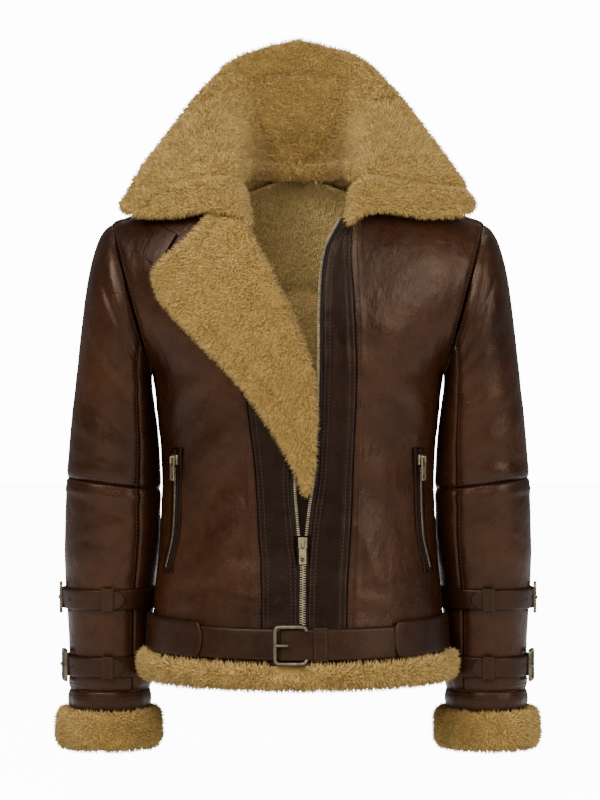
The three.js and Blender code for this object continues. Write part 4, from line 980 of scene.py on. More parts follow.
# %% [markdown]
# ## Collar
# The collar stands at the back and rolls out into two wings. It is cut in a right, a left and a
# back piece with a band along the edge, and the wool parts in a groove at every seam. The leather
# is on the outside, and the wool turns a little over the free edge.

# %% The collar's wool side
NOTCH, BACK_BAND, FRONT_BAND = 0.86, 0.75, 0.17
COLLAR_THICK, WOOL_DEPTH = 13, 4.5
DROOP = np.array([0, -7.0, -24.0])


def collar_normal(along, up):
    e = 0.004
    a, u = np.clip(along, e, 2 - e), np.clip(up, e, 1 - e)
    return unit(np.cross(collar(a + e, u) - collar(a - e, u), collar(a, u + e) - collar(a, u - e)))


def groove(along, up):
    """How deep the wool parts at the collar's seams, from 0 to 1."""
    across = np.where(along <= 1, along, 2 - along)
    g = np.exp(-((across - FRONT_BAND) / 0.016) ** 2)
    g = np.maximum(g, 0.25 * np.exp(-((across - NOTCH) / 0.010) ** 2) * smooth((up - 0.12) / 0.2))
    band = np.exp(-((up - BACK_BAND) / 0.035) ** 2) * (across > NOTCH)
    dimple = np.exp(-((across - NOTCH) / 0.03) ** 2 - ((up - 0.66) / 0.05) ** 2)
    return np.clip(np.maximum(np.maximum(g, band), dimple), 0, 1)


def collar_skin(start, stop):
    """The skin under the wool, off the leather side by the collar's thickness less the wool's depth."""
    def surface(u, v):
        along = stop + (start - stop) * u
        # The corner of each wing is rounded off
        near = np.clip(np.minimum(along, 2 - along) / 0.10, 0, 1)
        v = v * (1 - 0.11 * (1 - np.sqrt(1 - (1 - near) ** 2)))
        n = collar_normal(along, v)
        # Rounded over at the free edge and at the front ends
        out = np.minimum(1 - v, 0.06) / 0.06
        ends = np.clip(np.minimum(along, 2 - along) / 0.03, 0, 1)
        round_off = 3.2 * (1 - np.sqrt(1 - (1 - out) ** 2)) + 3.2 * (1 - np.sqrt(1 - (1 - ends) ** 2))
        p = collar(along, v)
        mid = np.clip(v, 0.01, 0.99)
        rise = unit(collar(along, mid + 0.01) - collar(along, mid - 0.01))
        p = p + rise * (3.0 * smooth((v - 0.9) / 0.1))[..., None]
        # The front ends droop a little over the fronts near the neck
        droop = smooth((0.2 - np.minimum(along, 2 - along)) / 0.2) * smooth((0.62 - v) / 0.5)
        p = p + droop[..., None] * DROOP
        deep = COLLAR_THICK - WOOL_DEPTH - round_off - 5.5 * groove(along, v)
        return p - n * (deep + lumps(p, 0.5))[..., None]
    return surface


print("the wool side lies", COLLAR_THICK - WOOL_DEPTH, "mm off the leather side")

# %% [markdown]
# ## The collar's three pieces
# Each piece is a grid on the wool side, and a Solidify modifier adds the leather behind it. The
# wool then grows on the front and on the free edges, but not on the faces where two pieces meet.


# %% Collar pieces
def collar_piece(name, start, stop, size, nodes):
    u, v = np.meshgrid(np.linspace(0, 1, size[0] + 1), np.linspace(0, 1, size[1] + 1))
    p = collar_skin(start, stop)(u, v)
    n = -collar_normal(stop + (start - stop) * u, v)
    mesh = lay_grid(name, *size, p)
    face_out(mesh, (p, n))
    o = add_object(name, mesh, FLEECE, LEATHER)
    m = o.modifiers.new("thickness", "SOLIDIFY")
    m.thickness, m.offset, m.material_offset = 0.0065, -1, 1
    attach(o, ROOT)
    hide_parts(*nodes)
    grids[name] = (p, n)
    return o


collar_pieces = (
    (collar_piece("collar_right_side", 0, NOTCH, (66, 48), ["collar_band_right", "collar_right"]), (0,)),
    (collar_piece("collar_left_side", 2 - NOTCH, 2, (66, 48), ["collar_band_left", "collar_left"]), (-1,)),
    (collar_piece("collar_back_piece", NOTCH, 2 - NOTCH, (36, 50), ["collar_back", "collar_band_back"]),
     (0, -1)))
for skin, edges in collar_pieces:
    # No wool grows from the cut faces where two pieces meet
    p, n = grids[skin.name]
    cut = np.concatenate([(p - 3.25 * n)[:, e] for e in edges])
    apart = lambda q: np.array([np.sum((cut - c) ** 2, -1).min() > 2.2 for c in q])
    grow_wool(skin.name + "_wool", skin, 1.34, 7.0, 1.5, lean=0.55, keep=apart)

# %% [markdown]
# ## Lapel
# The left front's edge is turned back from the fold, so its wool side faces out. A band runs along
# its outer edge, with a groove where it is sewn on.


# %% Lapel
def lapel_place(share, down):
    """Where a point between the fold and the edge is, seen from the front, and the lapel's width."""
    row = lambda c: curve(LAPEL["down"], LAPEL[c], down)
    x = row("fx") + (row("ex") - row("fx")) * share
    return x, row("fz") + (row("ez") - row("fz")) * share, np.abs(row("ex") - row("fx"))


def lapel_skin(u, v):
    x, z, wide = lapel_place(u, v)
    near = np.minimum(u, 1 - u) * wide
    high = 3.5 + 7 * np.sqrt(np.clip(1 - (1 - np.clip(near / 9, 0, 1)) ** 2, 0, 1))
    band = (1 - u) * wide
    high = high - 3.5 * np.exp(-((band - 30) / 2.6) ** 2) * smooth((wide - 44) / 20)
    p = in_front(x, z, high + 0 * x)
    return p + lumps(p, 0.7)[..., None] * front_normal(x, z)


lapel = panel("lapel_skin", lapel_skin, (40, 96), (0, 60, -180), "", (FLEECE, LEATHER), ["lapel"],
              thick=4)
grow_wool("lapel_wool", lapel, 1.38, 7.8, 1.5, lean=0.7, flow=(-0.2, 0, -0.5))

# %% [markdown]
# ## Hem and cuffs
# At the hem and the cuffs the sheepskin is turned up, so a thick roll of wool shows all round. Each
# roll is a closed tube of skin with locks of wool growing out of it. Behind the belt's buckle the
# hem's wool is pressed flat, and so it is at the sides, where the sleeves hang against it.

# %% Hem roll
HEM_HALF_WIDTH, FRONT_SAG, BUCKLE_X = 188, 9, -12
EDGE_X = float(curve(LEFT["z"], LEFT["zip"], np.array(ARMPIT - 0.9 * (ARMPIT - HEM_FOOT))))
OPEN = math.degrees(math.asin(EDGE_X / HEM_HALF_WIDTH))
# Height, distance off the body, and share of the sag at the front
HEM_PROFILE = [(-573, 1.2, 1.3), (-566.5, 8.6, 1.4), (-572, 13, 1.1), (-583, 14.2, 0.6),
               (-594, 13.4, 0.4), (-601.5, 8.5, 0.3), (-603, 0, 0.3), (-601, -7, 0.2), (-595, -9.5, 0),
               (-587, -8, 0), (-585.2, -3, 0), (-584.8, 1, 0.3)]


def hem_point(angle, z, off):
    """A point at an angle and a height, this far off the body."""
    a, b = curve(BODY["z"], BODY["width"], z), curve(BODY["z"], BODY["depth"], z)
    shift = BACK_SHIFT * (1 + (z - ARMPIT) / (ARMPIT - HEM_FOOT))
    t = np.radians(angle)
    return np.stack([(a + off) * np.sin(t), shift - (b + off) * np.cos(t), z], -1)


def front_sag(angle):
    """How far the belt and the hem hang down at an angle: most in front, nothing behind."""
    return FRONT_SAG * (1 + np.cos(np.radians(angle))) / 2


def loop(profile, v):
    """Columns of a closed profile, read smoothly at v from 0 to 1 round it."""
    rows = np.array(profile + profile[:1], float)
    wrapped = np.concatenate([rows[-2:-1], rows, rows[1:2]])
    keys = np.arange(-1, len(rows) + 1) / (len(rows) - 1)
    return [curve(keys, wrapped[:, k], v) for k in range(rows.shape[1])]


def hem_roll(start, stop):
    def surface(u, v):
        z, off, sag = loop(HEM_PROFILE, v)
        angle = start + (stop - start) * u
        turn = np.abs(angle)
        x = hem_point(angle, z, off)[..., 0]
        dent = smooth((30 - np.abs(x - BUCKLE_X)) / 9) * smooth((z + 594) / 8) * (turn < 60)
        press = 1 - 0.9 * np.clip((turn - 86) / 8, 0, 1) * np.clip((140 - turn) / 25, 0, 1)
        press = press * (1 - 0.8 * dent)
        ends = np.clip(np.minimum(u, 1 - u) * 560 / 4, 0, 1)
        off = np.where(off > 2, off * press, off) * (0.7 + 0.3 * ends)
        low = z - sag * front_sag(angle)
        p = hem_point(angle, low, off)
        return hem_point(angle, low, off + lumps(p, 0.5) * (off > 3))
    return surface


def turn_out(o):
    """Turn a roll's faces outwards, by the sign of its volume."""
    bm = bmesh.new()
    bm.from_mesh(o.data)
    if bm.calc_volume(signed=True) < 0:
        o.data.flip_normals()
    bm.free()


for word, start, stop in (("right", OPEN - 0.3, 179.95), ("left", -179.95, OPEN + 0.3)):
    hem = panel(f"hem_skin_{word}", hem_roll(start, stop), (150, 22), (0, 8, -586), "", (FLEECE,),
                [f"hem_fur_{word}"], thick=0, wrap=True)
    turn_out(hem)
    grow_wool(f"hem_wool_{word}", hem, 1.75, 8.2, 1.9, lean=0.7, flow=(0, 0, -0.1),
              keep=lambda q: (np.abs(q[:, 0] - BUCKLE_X) > 24) | (q[:, 2] < -588) | (q[:, 1] > 0))

# %% [markdown]
# ## Cuffs
# A cuff is the same kind of roll round the wrist, thick and pillowy. Its profile says how far inside
# the sleeve's outer line each point lies, and how high.

# %% Cuff rolls
CUFF_X, CUFF_Y, CUFF_HALF_WIDTH, CUFF_HALF_DEPTH = 247.5, 50, 70, 65
CUFF_PROFILE = [(7, -657), (3.2, -664), (2.4, -680), (3.2, -694), (8, -701.5), (14, -703), (17.5, -698),
                (17.5, -680), (17.5, -661), (16, -657), (12, -655.5)]


def cuff_roll(side):
    def surface(u, v):
        inset, z = loop(CUFF_PROFILE, v)
        t = np.radians(360 * u)
        soft = lumps(np.stack([60 * np.cos(t), 60 * np.sin(t), z], -1), 0.7)
        return np.stack([CUFF_X * side + (CUFF_HALF_WIDTH - inset + soft) * np.cos(t),
                         CUFF_Y + (CUFF_HALF_DEPTH - inset + soft) * np.sin(t), z], -1)
    return surface


for side, word in ((1, "right"), (-1, "left")):
    cuff = panel(f"cuff_skin_{word}", cuff_roll(side), (96, 24), (CUFF_X * side, CUFF_Y, -680), "",
                 (FLEECE,), [f"cuff_fur_{word}"], thick=0, wrap=True)
    turn_out(cuff)
    grow_wool(f"cuff_wool_{word}", cuff, 1.75, 6.6, 1.85, lean=0.7, flow=(0, 0, -0.2))

# %% [markdown]
# ## Lining
# Behind the open front the back's wool side shows. It is one sheet just inside the back panels, with
# grooves where their seams are, and short wool over the part that shows. A narrow wool-faced strip
# covers the neck seam.

# %% Back lining and neck strip
LINING_FOOT, LINING_HALF_ANGLE = -0.86, 56


def back_lining(u, v):
    level = LINING_FOOT + (NAPE - 0.01 - LINING_FOOT) * v
    angle = 180 + LINING_HALF_ANGLE * (0.5 - u) * 2
    p = body(angle, level)
    n = unit(np.stack([p[..., 0] * 0.5, p[..., 1] - 8 + 40, np.where(level > 0, 70.0 * level, 0)], -1))
    parting = np.exp(-((level - YOKE_LEVEL) * 150 / 4) ** 2)
    upright = np.exp(-((p[..., 0] - BACK_SEAM_X) / 3) ** 2) * (level < YOKE_LEVEL)
    parting = np.maximum(parting, upright)
    return p - n * (8.6 + 4.5 * smooth((level + 0.45) / 0.3) - 6 * parting + lumps(p, 0.6))[..., None]


# The lining's wool here is painted paler, as painted light on the shaded inside of the back
lining = panel("back_lining", back_lining, (50, 64), (0, 8, -300), "", (LIT_LINING, LIT_LINING), [], thick=1.2)
lining.data.flip_normals()
lining.modifiers["thickness"].offset = 1
grow_wool("lining_wool", lining, 1.65, 6.5, 1.8, lean=0.8, flow=(0, 0, -0.4), material=LIT_LINING,
          keep=lambda q: (np.abs(q[:, 0] - 5) < 75) & (q[:, 2] > -310))

# The right front's own wool shows past its edge near the neck
grow_wool("front_edge_wool", bpy.data.objects["front_right_strip_leather"], 0.8, 10, 1.2, lean=0.35,
          flow=(-2.2, -1.2, -0.2), slots=(1,),
          keep=lambda q: (q[:, 2] > -150) & (q[:, 0] < curve(RIGHT["z"], RIGHT["zip"], q[:, 2]) + 8))


def nape_roll(u, v):
    """The wool-faced strip over the neck seam, from one collar wing to the other."""
    along = 0.36 + 1.28 * u
    p = collar(along, np.zeros_like(u))
    inward = unit(np.stack([p[..., 0], p[..., 1] + 10, 0 * u], -1))
    level = np.minimum(p[..., 2] + 4, 50)
    p = p - inward * (9.5 + 4.0 * np.sin(np.pi * v))[..., None]
    p[..., 2] = level - 15 + v * 24
    return p


nape = panel("neck_roll", nape_roll, (90, 12), (0, 300, 50), "", (FLEECE,), [], thick=1.5)
grow_wool("neck_roll_wool", nape, 1.6, 6.5, 1.7, lean=0.7, flow=(0, 0, -0.3))

# %% [markdown]
# ## Straps and belt
# Belt leather is cut from thick hide. Its edges are bevelled and rubbed smooth, so each strap here
# is a strip whose long edges turn down. The belt sags a little in front and its free end goes on
# over the buckle, with three holes, through a keeper and into a wide carrier at the side.


# %% Belt
def crown(v, wide, high=0.9):
    """The strip's face across its width: flat, with rounded long edges, in mm."""
    d = np.minimum(v, 1 - v) * wide
    return -high * (1 - np.sqrt(np.clip(1 - (1 - np.clip(d / 1.6, 0, 1)) ** 2, 0, 1))) \
        - 0.28 * np.exp(-((d - 3.4) / 0.7) ** 2)


def strap(name, place, size, wide, thick, centre, nodes, wrap=False):
    """A strip of belt leather: place(u, v, off) gives a point that stands off from what it lies on."""
    surface = lambda u, v: place(u, v, thick + crown(v, wide))
    panel(name, surface, size, centre, "", (STRAP,), nodes, thick=thick - 0.2, wrap=wrap)


BELT_TOP, BELT_HALF, BELT_REST, BELT_THICK = -524, 20, 1.8, 3.4


def belt_place(start, stop, above, below, lift, curl=0.0):
    """On the belt's line between two angles; curl bends the start."""
    def place(u, v, off):
        height = (above - below) / 2 + (v - 0.5) * (above + below)
        angle = start + (stop - start) * u + curl * ((v - 0.5) ** 2 * 4 - 0.3) * (1 - u)
        return hem_point(angle, BELT_TOP - front_sag(angle) - BELT_HALF + height, lift + off)
    return place


AXIS = (0, 8, -548)
OVER = BELT_REST + BELT_THICK + 0.3
strap("belt_leather", belt_place(0, 360, BELT_HALF, BELT_HALF, BELT_REST), (200, 16), 40, BELT_THICK,
      AXIS, ["belt"], wrap=True)
strap("belt_end_leather", belt_place(-6.4, 38, 19.5, 19.5, OVER), (80, 18), 39, 3.0, AXIS, ["belt_end"])
strap("belt_keeper_leather", belt_place(5.6, 10.6, 21.8, 20.8, OVER + 3.1), (10, 30), 42, 2.0, AXIS,
      ["belt_keeper"])
for side, word in ((1, "right"), (-1, "left")):
    strap(f"belt_carrier_{word}_leather",
          belt_place(side * 38.6, side * 85, 25, 20.5, OVER, curl=side * 2.2), (48, 18), 45, 2.4, AXIS,
          [f"belt_carrier_{word}"])
    sew(f"belt_carrier_{word}_leather", "l" if side > 0 else "r", 3.2)
for edge in "lr":
    sew("belt_keeper_leather", edge, 1.8)
print("the belt is", 2 * BELT_HALF, "mm wide and", BELT_THICK, "mm thick")

# %% [markdown]
# ## Sleeve straps
# Two straps go round each sleeve. Each is a ring with a buckle at the outer side, a stub that holds
# the buckle, a tail that lies over the ring and ends in a rounded point, and a keeper loop.


# %% Sleeve straps
def ring_place(side, z, start=0.0, stop=360.0, lift=0.0, half=13.5, point=0.0):
    """Round a sleeve at a height, between two angles; point rounds the end off."""
    top, foot = down_at(z + half), down_at(z - half)

    def place(u, v, off):
        tip = np.clip((u - (1 - point)) / max(point, 1e-6), 0, 1) if point else 0 * u
        keep = np.sqrt(np.clip(1 - tip ** 2.2, 0.02, 1))
        down = (top + foot) / 2 + (foot - top) * (0.5 - v) * keep
        around = start + (stop - start) * u
        return sleeve(side, down, around, None, -(lift + off))
    return place


def punch(place, off):
    """Note a hole at a place on a strap: where it is, and the way that the face looks."""
    p, q = (place(np.array(0.5), np.array(0.5), np.array(k)) for k in (off, off + 1))
    holes.append((p, q - p))


# Height, distance off the sleeve, and the buckle's angle
RINGS = {"upper": (-508, 1.55, 6), "lower": (-596, 1.2, 14)}
holes = []
for side, word in ((1, "right"), (-1, "left")):
    for part, (z, rest, turn) in RINGS.items():
        at = float(curve(SLEEVE["down"], SLEEVE["y"], np.array(down_at(z))))
        centre = (side * 245, at, z)
        strap(f"strap_{word}_{part}_leather", ring_place(side, z, lift=rest), (110, 12), 27, 3.0, centre,
              [f"strap_{word}_{part}"], wrap=True)
        # The free end lies over the strap from the buckle round the front, through the keeper
        strap(f"strap_tail_{word}_{part}", ring_place(side, z, turn + 2, 112, rest + 3.2, 13.0, 0.16),
              (60, 14), 26, 2.2, centre, [])
        strap(f"strap_keeper_{word}_{part}", ring_place(side, z, 84, 98, rest + 5.7, 15.2), (14, 18), 30,
              1.8, centre, [])
        strap(f"strap_stub_{word}_{part}", ring_place(side, z, turn - 20, turn - 2, rest + 3.2, 12.5),
              (14, 14), 25, 2.0, centre, [])
        for edge in "lr":
            sew(f"strap_keeper_{word}_{part}", edge, 2.2)
        for angle in (40, 58):
            punch(ring_place(side, z, angle, angle, rest + 3.2), 2.2)
for angle in (4.3, 12.9, 18.3):
    punch(belt_place(angle, angle, 19.5, 19.5, OVER), 3.0)
print("sleeve straps:", 2 * len(RINGS))

# %% [markdown]
# ## Throat strap
# A short strap hangs out from under the left collar wing, with a rounded end. It lies on the front,
# so it is laid out as seen from the front.

# %% Throat strap
THROAT_TOP, THROAT_FOOT, THROAT_HALF, THROAT_OFF = (-163, -38), (-186, -78), 13.5, 4.2


def throat(u, v):
    end = np.sqrt(np.clip(1 - ((v - 0.8) / 0.2) ** 2 * 0.98, 0.01, 1))
    half = THROAT_HALF * np.where(v < 0.8, 1, end)
    x, z = (a + (b - a) * v for a, b in zip(THROAT_TOP, THROAT_FOOT))
    s = (u - 0.5) * 2
    return in_front(x + s * half * 0.9, z - s * half * 0.45, THROAT_OFF + crown(u, 27, 0.6))


panel("throat_strap_leather", throat, (20, 34), (0, 60, -60), "", (STRAP,), ["throat_strap"], thick=2.6)
punch(lambda u, v, off: in_front(np.array(-166.0), np.array(-47.0), off), THROAT_OFF)
print("the throat strap is", 2 * THROAT_HALF, "mm wide")

# %% [markdown]
# ## Holes
# Each punched hole is a disc of painted shade that lies in the strap's face, as dark as a hole looks
# inside. A real hole would need the strap's grid cut open, and from a step away nobody would see the
# difference.


# %% Strap holes
def on_face(centres, outs):
    """Places in metres, with three axes each: sideways, upwards and out of the face."""
    z = unit(np.asarray(outs, float))
    x = unit(np.cross(np.array([0.0, 0, 1]), z))
    return np.asarray(centres, float) * 0.001, x, np.cross(z, x), z


bm = bmesh.new()
bmesh.ops.create_cone(bm, cap_ends=True, segments=16, radius1=1, radius2=1, depth=0.3)
disc = bpy.data.meshes.new("disc")
bm.to_mesh(disc)
bm.free()
# Painted shade: each disc is as dark as the inside of a punched hole
HOLE_PAINTED_SHADE = new_material("hole", rough=0.9, colour=(0.004, 0.003, 0.002))[0]
HOLE_RADIUS = 0.0021
place, x, y, z = on_face([h[0] for h in holes], [h[1] for h in holes])
discs = joined_copies("strap_holes", disc, place, x * HOLE_RADIUS, y * HOLE_RADIUS, z * 0.001)
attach(add_object("strap_holes", discs, HOLE_PAINTED_SHADE, smooth_faces=False), ROOT)
print("holes:", len(holes))

# %% [markdown]
# ## Stitches
# Every stitch is a short thread, a little bar that is narrower on top. The rows were noted as the
# panels were made, and all of them become one mesh.

# %% Stitches
bm = bmesh.new()
bmesh.ops.create_cube(bm, size=1)
for v in bm.verts:
    if v.co.z > 0:
        v.co.x *= 0.7
        v.co.y *= 0.6
stitch = bpy.data.meshes.new("stitch")
bm.to_mesh(stitch)
bm.free()
STITCH_LONG, STITCH_WIDE, STITCH_HIGH = 0.0032, 0.0009, 0.0007
p, ahead, out = (np.concatenate([row[i] for row in threads]) for i in range(3))
sewn = joined_copies("stitches", stitch, (p + out * 0.15) * 0.001, ahead * STITCH_LONG,
                     np.cross(out, ahead) * STITCH_WIDE, out * STITCH_HIGH)
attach(add_object("stitches", sewn, THREAD), ROOT)
print("stitches:", len(p))

# %% [markdown]
# ## Zips
# A zip is two tapes with a row of metal teeth along each. Below the slider the teeth lock, left and
# right by turns. Above it the rows part and follow the fronts' edges. The slider and its pull are
# the CAD solids, with their edges rounded.


# %% The zips' lines
def right_zip(z):
    return curve(RIGHT["z"], RIGHT["zip"], z)


def left_zip(z):
    return curve(LEFT["z"], LEFT["zip"], z)


def closed_zip(z):
    return (right_zip(z) + left_zip(z)) / 2


POCKET = table("z x", (-330, 152), (-420, 155), (-462, 164))


def pocket_line(side):
    return lambda z: side * curve(POCKET["z"], POCKET["x"], z)


def line_on_front(x_at, low, high, off):
    """Points and normals up a line that is given as seen from the front."""
    z = np.linspace(low, high, 160)
    x = x_at(z)
    return in_front(x, z, np.full(z.shape, off)), front_normal(x, z)


def tape(name, x_at, low, high, off, wide):
    """A narrow woven tape along a line on the front."""
    def surface(u, v):
        z = low + (high - low) * v
        return in_front(x_at(z) + (u - 0.5) * wide, z, off + 0 * u)
    panel(name, surface, (4, 90), MIDDLE, "", (TAPE,), [], thick=0.8)


print("the slider is at x", float(closed_zip(-430.0).round(1)), "mm")

# %% [markdown]
# ## Zip teeth
# A tooth is a small block with bevelled edges. In the closed stretch the left and the right teeth
# take turns, half a pitch apart and shifted to their own side. All the teeth become one mesh.

# %% Zip teeth and tapes
bm = bmesh.new()
bmesh.ops.create_cube(bm, size=1)
bmesh.ops.bevel(bm, geom=list(bm.edges), offset=0.14, segments=1, affect="EDGES", profile=0.5,
                material=-1)
tooth = bpy.data.meshes.new("tooth")
bm.to_mesh(tooth)
bm.free()
CLOSED_TOOTH, OPEN_TOOTH = (4.6, 1.35, 2.2), (3.8, 1.5, 2.4)
ZIP_FOOT, SLIDER_FOOT, SLIDER_TOP, RIGHT_TOP, LEFT_TOP = -537, -436, -420, -24, -318
rows = []
for x_at, low, high, off, pitch, sizes, shift in (
        (closed_zip, ZIP_FOOT, SLIDER_FOOT, 0.6, 2.9, CLOSED_TOOTH, 1.6),
        (closed_zip, ZIP_FOOT + 1.45, SLIDER_FOOT, 0.6, 2.9, CLOSED_TOOTH, -1.6),
        (lambda z: right_zip(z) - 1.5, SLIDER_TOP, RIGHT_TOP, 0.4, 2.7, OPEN_TOOTH, 0),
        (lambda z: left_zip(z) + 1.3, SLIDER_TOP, LEFT_TOP, 0.4, 2.7, OPEN_TOOTH, 0)):
    p, ahead, out = walk(*line_on_front(x_at, low, high, off), pitch)
    across = np.cross(out, ahead)
    rows.append((p + across * shift, across * sizes[0], ahead * sizes[1], out * sizes[2]))
for side in (1, -1):
    line = line_on_front(pocket_line(side), -464, -336, 3.9)
    for half in (1, -1):
        p, ahead, out = walk(line[0][::half], line[1][::half], 2.3)
        across = np.cross(out, ahead)
        rows.append((p + across * 0.7, across * 1.9, ahead * 1.15, out * 1.3))
p, across, ahead, out = (np.concatenate([r[i] for r in rows]) * 0.001 for i in range(4))
teeth = joined_copies("zip_teeth", tooth, p, across, ahead, out)
teeth = add_object("zip_teeth", teeth, BRASS, smooth_faces=False)
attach(teeth, ROOT)
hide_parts("zip_closed", "zip_row_right", "zip_row_left", "pocket_zip_right", "pocket_zip_left")
tape("zip_tape_right", lambda z: right_zip(z) + 2.2, SLIDER_TOP, RIGHT_TOP, -0.6, 5.5)
tape("zip_tape_left", lambda z: left_zip(z) - 2.2, SLIDER_TOP, LEFT_TOP, -0.6, 5.5)
tape("zip_tape_closed", closed_zip, ZIP_FOOT - 1, SLIDER_FOOT + 4, -0.9, 14)
print("teeth:", len(p))

# %% [markdown]
# ## Pockets
# Each pocket is a slanting slit with a leather welt round its zip.


# %% Pocket welts
WELT_WIDE, WELT_TOP, WELT_LONG = 13, -312, 158


def welt(side):
    def surface(u, v):
        z = WELT_TOP - WELT_LONG * (1 - v)
        edge = np.sqrt(np.clip(1 - (np.abs(u - 0.5) * 2) ** 6, 0, 1))
        slit = np.exp(-((u - 0.5) * WELT_WIDE / 2.4) ** 4)
        return in_front(pocket_line(side)(z) + (u - 0.5) * WELT_WIDE, z, 1.2 + 1.5 * edge - 1.2 * slit)
    return surface


for side, word in ((1, "right"), (-1, "left")):
    panel(f"pocket_welt_{word}_leather", welt(side), (16, 60), MIDDLE, "", (STRIP,),
          [f"pocket_welt_{word}"], thick=1.4)
    tape(f"pocket_tape_{word}", pocket_line(side), -466, -322, 2.4, 5.0)
print("each welt is", WELT_WIDE, "by", WELT_LONG, "mm")

# %% [markdown]
# ## Metal parts
# The sleeve buckles, the sliders and the pulls are cast, with soft edges. They stay the CAD solids,
# and a Bevel modifier rounds their edges, so that they catch the light. Their loose triangles are
# welded first, because a bevel needs faces that share their edges.

# %% Cast metal parts
for name, o in frame["nodes"].items():
    if name.startswith(("strap_buckle", "zip_slider", "zip_pull")):
        o.data.materials.clear()
        o.data.materials.append(BRONZE if "buckle" in name else BRASS)
        m = o.modifiers.new("weld", "WELD")
        m.merge_threshold = 2e-5
        m = o.modifiers.new("round", "BEVEL")
        m.width, m.segments, m.limit_method, m.angle_limit = 0.0004, 2, "ANGLE", math.radians(35)
        for f in o.data.polygons:
            f.use_smooth = True
print("metal parts:", sum("buckle" in n or "zip_slider" in n or "zip_pull" in n for n in frame["nodes"]))

# %% [markdown]
# ## Belt buckle
# The belt's buckle is bent from round bar, so it is swept: a ring of points goes along a path whose
# corners are rounded. The open side goes into the leather, and the prong lies across the frame.


# %% Belt buckle
def rod(name, corners, radius, bend):
    """A round bar along a path with rounded corners, tapered shut at both ends."""
    c = np.array(corners, float)
    path = [c[:1]]
    for before, at, after in zip(c, c[1:], c[2:]):
        t = np.linspace(0, 1, 9)[:, None]
        a, b = at + unit(before - at) * bend, at + unit(after - at) * bend
        path.append(a * (1 - t) ** 2 + at * 2 * t * (1 - t) + b * t * t)
    path = np.concatenate(path + [c[-1:]])
    far = np.concatenate([[0], np.cumsum(np.linalg.norm(np.diff(path, axis=0), axis=-1))])
    end = np.array([0, 0.15, 0.5])
    s = np.concatenate([end, np.linspace(1, far[-1] - 1, 70), far[-1] - end[::-1]])
    mid = np.stack([np.interp(s, far, path[:, k]) for k in range(3)], -1)
    ahead = unit(np.gradient(mid, axis=0))
    side = unit(np.cross(ahead, (0.0, 1.0, 0.0)))
    other = np.cross(ahead, side)
    taper = np.minimum(s, far[-1] - s).clip(0, radius) / radius
    size = radius * np.sqrt(np.clip(1 - (1 - taper) ** 2, 0.002, 1))
    turn = np.linspace(0, 2 * np.pi, 13)[None, :, None]
    ring = np.cos(turn) * side[:, None] + np.sin(turn) * other[:, None]
    points = mid[:, None] + size[:, None, None] * ring
    o = add_object(name, lay_grid(name, 12, len(mid) - 1, points, True), BRONZE)
    turn_out(o)
    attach(o, ROOT)
    return o


low, high = (np.array(c) * 1000 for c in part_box("belt_buckle"))
BAR = 2.2
face, middle = low[1] + BAR, (low[2] + high[2]) / 2
tip, post = low[0] + BAR, high[0] - 1
frame_bar = rod("buckle_frame", [
    (post, face + 3, high[2] - 9), (post, face, high[2] - BAR), (tip, face, high[2] - BAR),
    (tip, face, low[2] + BAR), (post, face, low[2] + BAR), (post, face + 3, low[2] + 9)], 2.5, 6)
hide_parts("belt_buckle")
rod("buckle_prong", [(low[0] + 0.5, face - 1.5, middle), (low[0] + 4, face - 2.6, middle),
                     (low[0] + 19, face - 1.6, middle)], 1.9, 2)
print("buckle, mm:", (high - low).round(1))

# %% [markdown]
# ## Under flap and hem bands
# A flap of leather lies behind the closed zip. The hem bands are the leather under the belt, down to
# the roll of wool.


# %% Under flap and hem bands
def flap(u, v):
    return in_front(-22 + 52 * u, -536 + 286 * v, -8.6 + 0 * u)


panel("under_flap_leather", flap, (20, 70), (0, 60, -400), "lr", (STRIP,), ["under_flap"], thick=3.5)
BAND_FOOT, BAND_HIGH = -584, 43.2
for word, start, stop in (("right", OPEN + 0.12, 179.95), ("left", -179.95, OPEN - 0.12)):
    band = lambda u, v: hem_point(start + (stop - start) * u, BAND_FOOT + BAND_HIGH * v, 0 * u)
    panel(f"hem_band_{word}_leather", band, (120, 8), AXIS, "t", WARM, [f"hem_band_{word}"])
print("the hem bands are", BAND_HIGH, "mm high")

# %% [markdown]
# ## The cut
# A maker lays each piece out flat before sewing. The flat size of every sheet comes from its own
# grid: the longest row, the longest column, and the area of all its small faces.


def flat_size(p):
    """Width, length and area in metres of a grid of points in mm, as if it were laid out flat."""
    across = np.linalg.norm(np.diff(p, axis=1), axis=-1).sum(1).max()
    down = np.linalg.norm(np.diff(p, axis=0), axis=-1).sum(0).max()
    cross = np.cross(p[1:, 1:] - p[:-1, :-1], p[1:, :-1] - p[:-1, 1:])
    return across / 1000, down / 1000, np.linalg.norm(cross, axis=-1).sum() / 2e6


TAPE_WIDE = 0.011
for name, (p, n) in grids.items():
    across, down, area = flat_size(p)
    # Each half of a zip's tape is 11 mm wide before its edge goes under the leather
    across = max(across, TAPE_WIDE)
    if not bpy.data.objects[name].modifiers:
        # A roll is one thick strip of sheepskin: each of its faces is half the way round
        down, area = down / 2, area / 2
    print(f"{name}: {across * 1000:.0f} x {down * 1000:.0f} mm, {area:.4f} m2")

# %% [markdown]
# ## Floor and background
# The floor and the world are near white to the camera, as in a studio picture. They light the jacket
# only a little: a Light Path node tells what the camera sees from what lights other things.

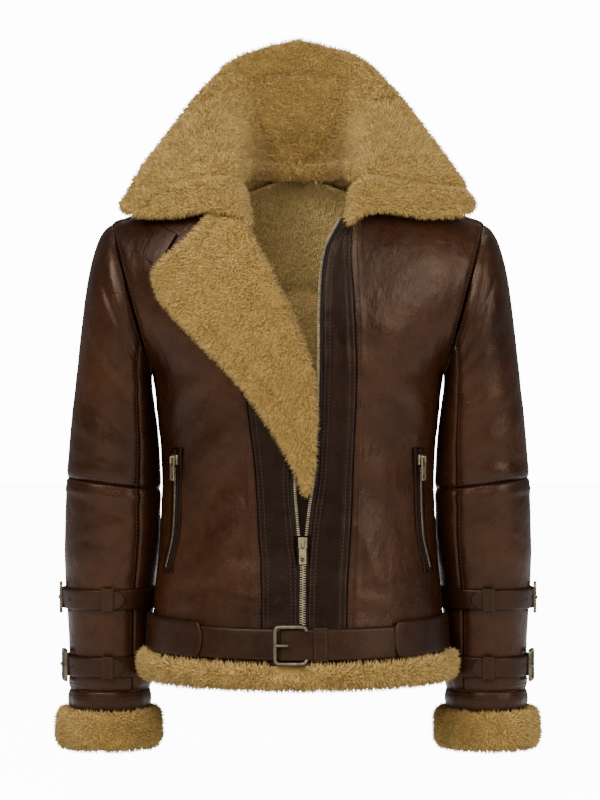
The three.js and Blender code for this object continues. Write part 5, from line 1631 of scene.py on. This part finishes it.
# %% Floor and background
floor_mesh = bpy.data.meshes.new("floor")
bm = bmesh.new()
bmesh.ops.create_grid(bm, x_segments=1, y_segments=1, size=9)
bm.to_mesh(floor_mesh)
bm.free()
floor = add_object("floor", floor_mesh, smooth_faces=False)
floor.location = (0, 3, -0.78)
PALE, tree, shader = new_material("pale floor", rough=0.9, colour=(0.86, 0.86, 0.86))
shader.inputs["Emission Color"].default_value = (1, 1, 1, 1)
ray = tree.nodes.new("ShaderNodeLightPath")
link(tree, span(tree, ray.outputs["Is Camera Ray"], 0, 1, 0.35, 12.0), shader.inputs["Emission Strength"])
floor_mesh.materials.append(PALE)
world = bpy.data.worlds.new("studio")
world.use_nodes = True
world.node_tree.nodes["Background"].inputs["Color"].default_value = (1, 1, 1, 1)
seen = world.node_tree.nodes.new("ShaderNodeLightPath")
bright = span(world.node_tree, seen.outputs["Is Camera Ray"], 0, 1, 0.22, 14.0)
link(world.node_tree, bright, world.node_tree.nodes["Background"].inputs["Strength"])
bpy.context.scene.world = world
print("floor at", floor.location.z, "m")

# %% [markdown]
# ## Lamps and camera
# The light is a plain soft studio of four broad square lamps: a key from the upper left, a weaker
# one from the right, one above and one in front. The camera stands at chest height, level, as in the
# photo.

# %% Lamps and camera
for name, place, size, watts in (
        ("key", (-1.7, -2.2, 1.6), 1.4, 135), ("fill", (2.2, -1.8, 0.7), 1.6, 75),
        ("top", (0.2, 0.4, 2.2), 1.6, 50), ("front", (-0.2, -3.0, 1.5), 1.6, 75)):
    lamp = bpy.data.lights.new(name, "AREA")
    lamp.size, lamp.energy = size, watts
    o = bpy.data.objects.new(name, lamp)
    o.location = place
    o.rotation_euler = (Vector((0, 0, -0.25)) - Vector(place)).to_track_quat("-Z", "Y").to_euler()
    bpy.context.scene.collection.objects.link(o)
eye = bpy.data.cameras.new("camera")
eye.sensor_fit, eye.sensor_height, eye.lens = "VERTICAL", 24, 2403 / 800 * 24
camera = bpy.data.objects.new("camera", eye)
camera.location = (0.0026, -3.1, -0.2516)
camera.rotation_euler = (math.pi / 2, 0, 0)
bpy.context.scene.collection.objects.link(camera)
bpy.context.scene.camera = camera
print("camera lens", round(eye.lens, 1), "mm")
